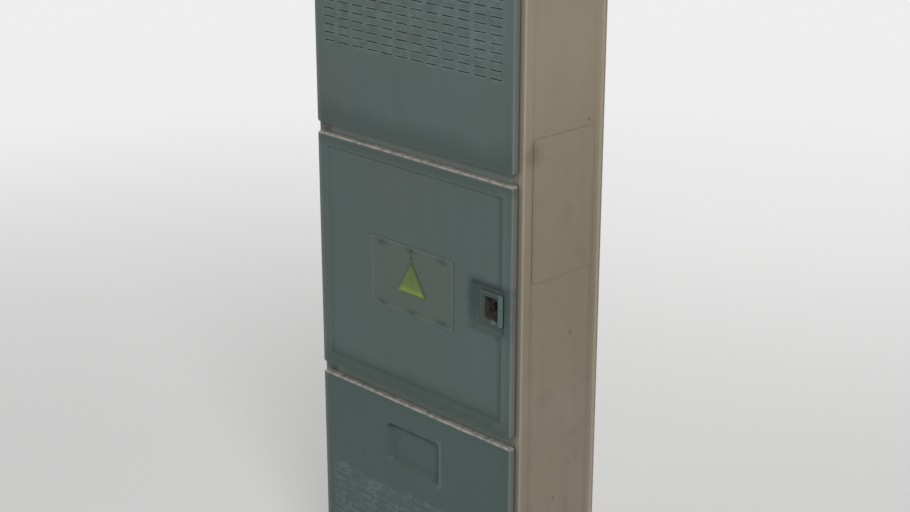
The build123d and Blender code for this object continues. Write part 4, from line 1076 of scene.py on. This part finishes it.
def bar_screws(bm):
    """Screws on the front of the busbar, one above each fuse, and on the front of the earth bar."""
    low, high = corners("busbar")
    for index in (1, 2, 3):
        x = box_of(f"fuse_link_{index}")[0][0] / mm
        slotted_screw(bm, x, low[1] - 2.4, (low[2] + high[2]) / 2, 4.0, 2.4, 0.26)
    low, high = corners("earth_bar")
    for column in range(6):
        slotted_screw(bm, -80.0 + 32.0 * column, low[1] - 2.6, (low[2] + high[2]) / 2, 4.6, 2.6, 0.26)


model("terminal_screws", terminal_screws, zinc, "case", "contact_metal")
model("bar_screws", bar_screws, zinc, "case", "contact_metal")

# %% [markdown]
# ## Floor, light and camera
# The box stands on a plain pale floor. The floor shades as a floor does near the box, so that it keeps the
# shadow, and further out it goes over into the same pale light as the world behind it. That part is seen by
# the camera and in reflections only, and adds no light to the box.

# %% A factor that is 1 for what the camera, gloss and glass see
def seen_directly(tree):
    """Light Path's camera, glossy and transmission rays, joined."""
    paths = put(tree, "LightPath").outputs
    seen = calc(tree, "MAXIMUM", paths["Is Camera Ray"], paths["Is Glossy Ray"])
    return calc(tree, "MAXIMUM", seen, paths["Is Transmission Ray"])


backdrop = 0.84

# %% Floor
bm = bmesh.new()
bmesh.ops.create_grid(bm, x_segments=1, y_segments=1, size=30.0)
floor_mesh = bpy.data.meshes.new("floor")
bm.to_mesh(floor_mesh)
bm.free()
floor = bpy.data.objects.new("floor", floor_mesh)
bpy.context.scene.collection.objects.link(floor)
pale_floor, tree, shader = start_material("pale_floor", Roughness=0.9, Specular_IOR_Level=0.1)
out = vector(tree, "DISTANCE", object_place(tree), (0.0, 0.0, 0.0), result="Value")
far = ease(tree, out, 1.0, 4.5)
tree.links.new(mix(tree, far, (0.74, 0.74, 0.735, 1.0), (0.0, 0.0, 0.0, 1.0)), shader.inputs["Base Color"])
glow = times(tree, times(tree, far, backdrop), seen_directly(tree))
glow = put(tree, "CombineXYZ", {0: glow, 1: glow, 2: glow}).outputs[0]
tree.links.new(glow, shader.inputs["Emission Color"])
shader.inputs["Emission Strength"].default_value = 1.0
floor_mesh.materials.append(pale_floor)
print("floor", round(floor.dimensions.x), "m across")

# %% World
world = bpy.data.worlds.new("soft_room")
bpy.context.scene.world = world
world.use_nodes = True
tree = world.node_tree
tree.nodes.clear()
room_light = 0.42
strength = calc(tree, "MULTIPLY_ADD", seen_directly(tree), backdrop - room_light, room_light)
sky = put(tree, "Background", {"Color": (1.0, 1.0, 1.0, 1.0), "Strength": strength})
tree.links.new(sky.outputs[0], put(tree, "OutputWorld").inputs[0])
print("world gives", room_light, "and shows", backdrop)


# %% [markdown]
# The main lamp stands where the photograph's light came from: high up and to the front right, so that the
# doors and the right side get the same light, and the top and right walls of each dish throw a soft shadow.
# Two wider, weaker lamps keep the other sides readable. Together they light a vertical sheet at the level at
# which a colour renders about as it is written.

# %% Lamps
def soft_lamp(name, place, size, watts):
    """A square area lamp that faces the middle of the box."""
    lamp = bpy.data.lights.new(name, "AREA")
    lamp.size = size
    lamp.energy = watts
    holder = bpy.data.objects.new(name, lamp)
    bpy.context.scene.collection.objects.link(holder)
    holder.location = place
    holder.rotation_euler = (Vector((0, 0, 0.8)) - Vector(place)).to_track_quat("-Z", "Y").to_euler()


soft_lamp("key", (3.3, -2.3, 3.1), 1.4, 112)
soft_lamp("fill", (-1.6, -3.6, 1.3), 2.6, 24)
soft_lamp("back", (-1.6, 3.2, 2.8), 2.4, 60)
print("lamps", [lamp.name for lamp in bpy.data.lights])

# %% [markdown]
# The camera stands to the front right of the box, higher than its roof, and looks down on it, so that the box
# runs out of the picture above and below.

# %% Camera
yaw, pitch, roll = math.radians(45.37), math.radians(19.65), math.radians(0.04)
back = Vector((math.sin(yaw) * math.cos(pitch), -math.cos(yaw) * math.cos(pitch), math.sin(pitch)))
right = Vector((math.cos(yaw), math.sin(yaw), 0.0))
up = back.cross(right)
turned = Matrix((right, up, back)).transposed().to_4x4() @ Matrix.Rotation(roll, 4, "Z")
camera = bpy.data.objects.new("camera", bpy.data.cameras.new("camera"))
camera.data.sensor_width = 36.0
camera.data.lens = 67.64
camera.matrix_world = Matrix.Translation((2.1121, -2.0807, 1.8729)) @ turned
bpy.context.scene.collection.objects.link(camera)
bpy.context.scene.camera = camera
bpy.context.scene.view_settings.view_transform = "Standard"
print("camera at", [round(value, 3) for value in camera.location])
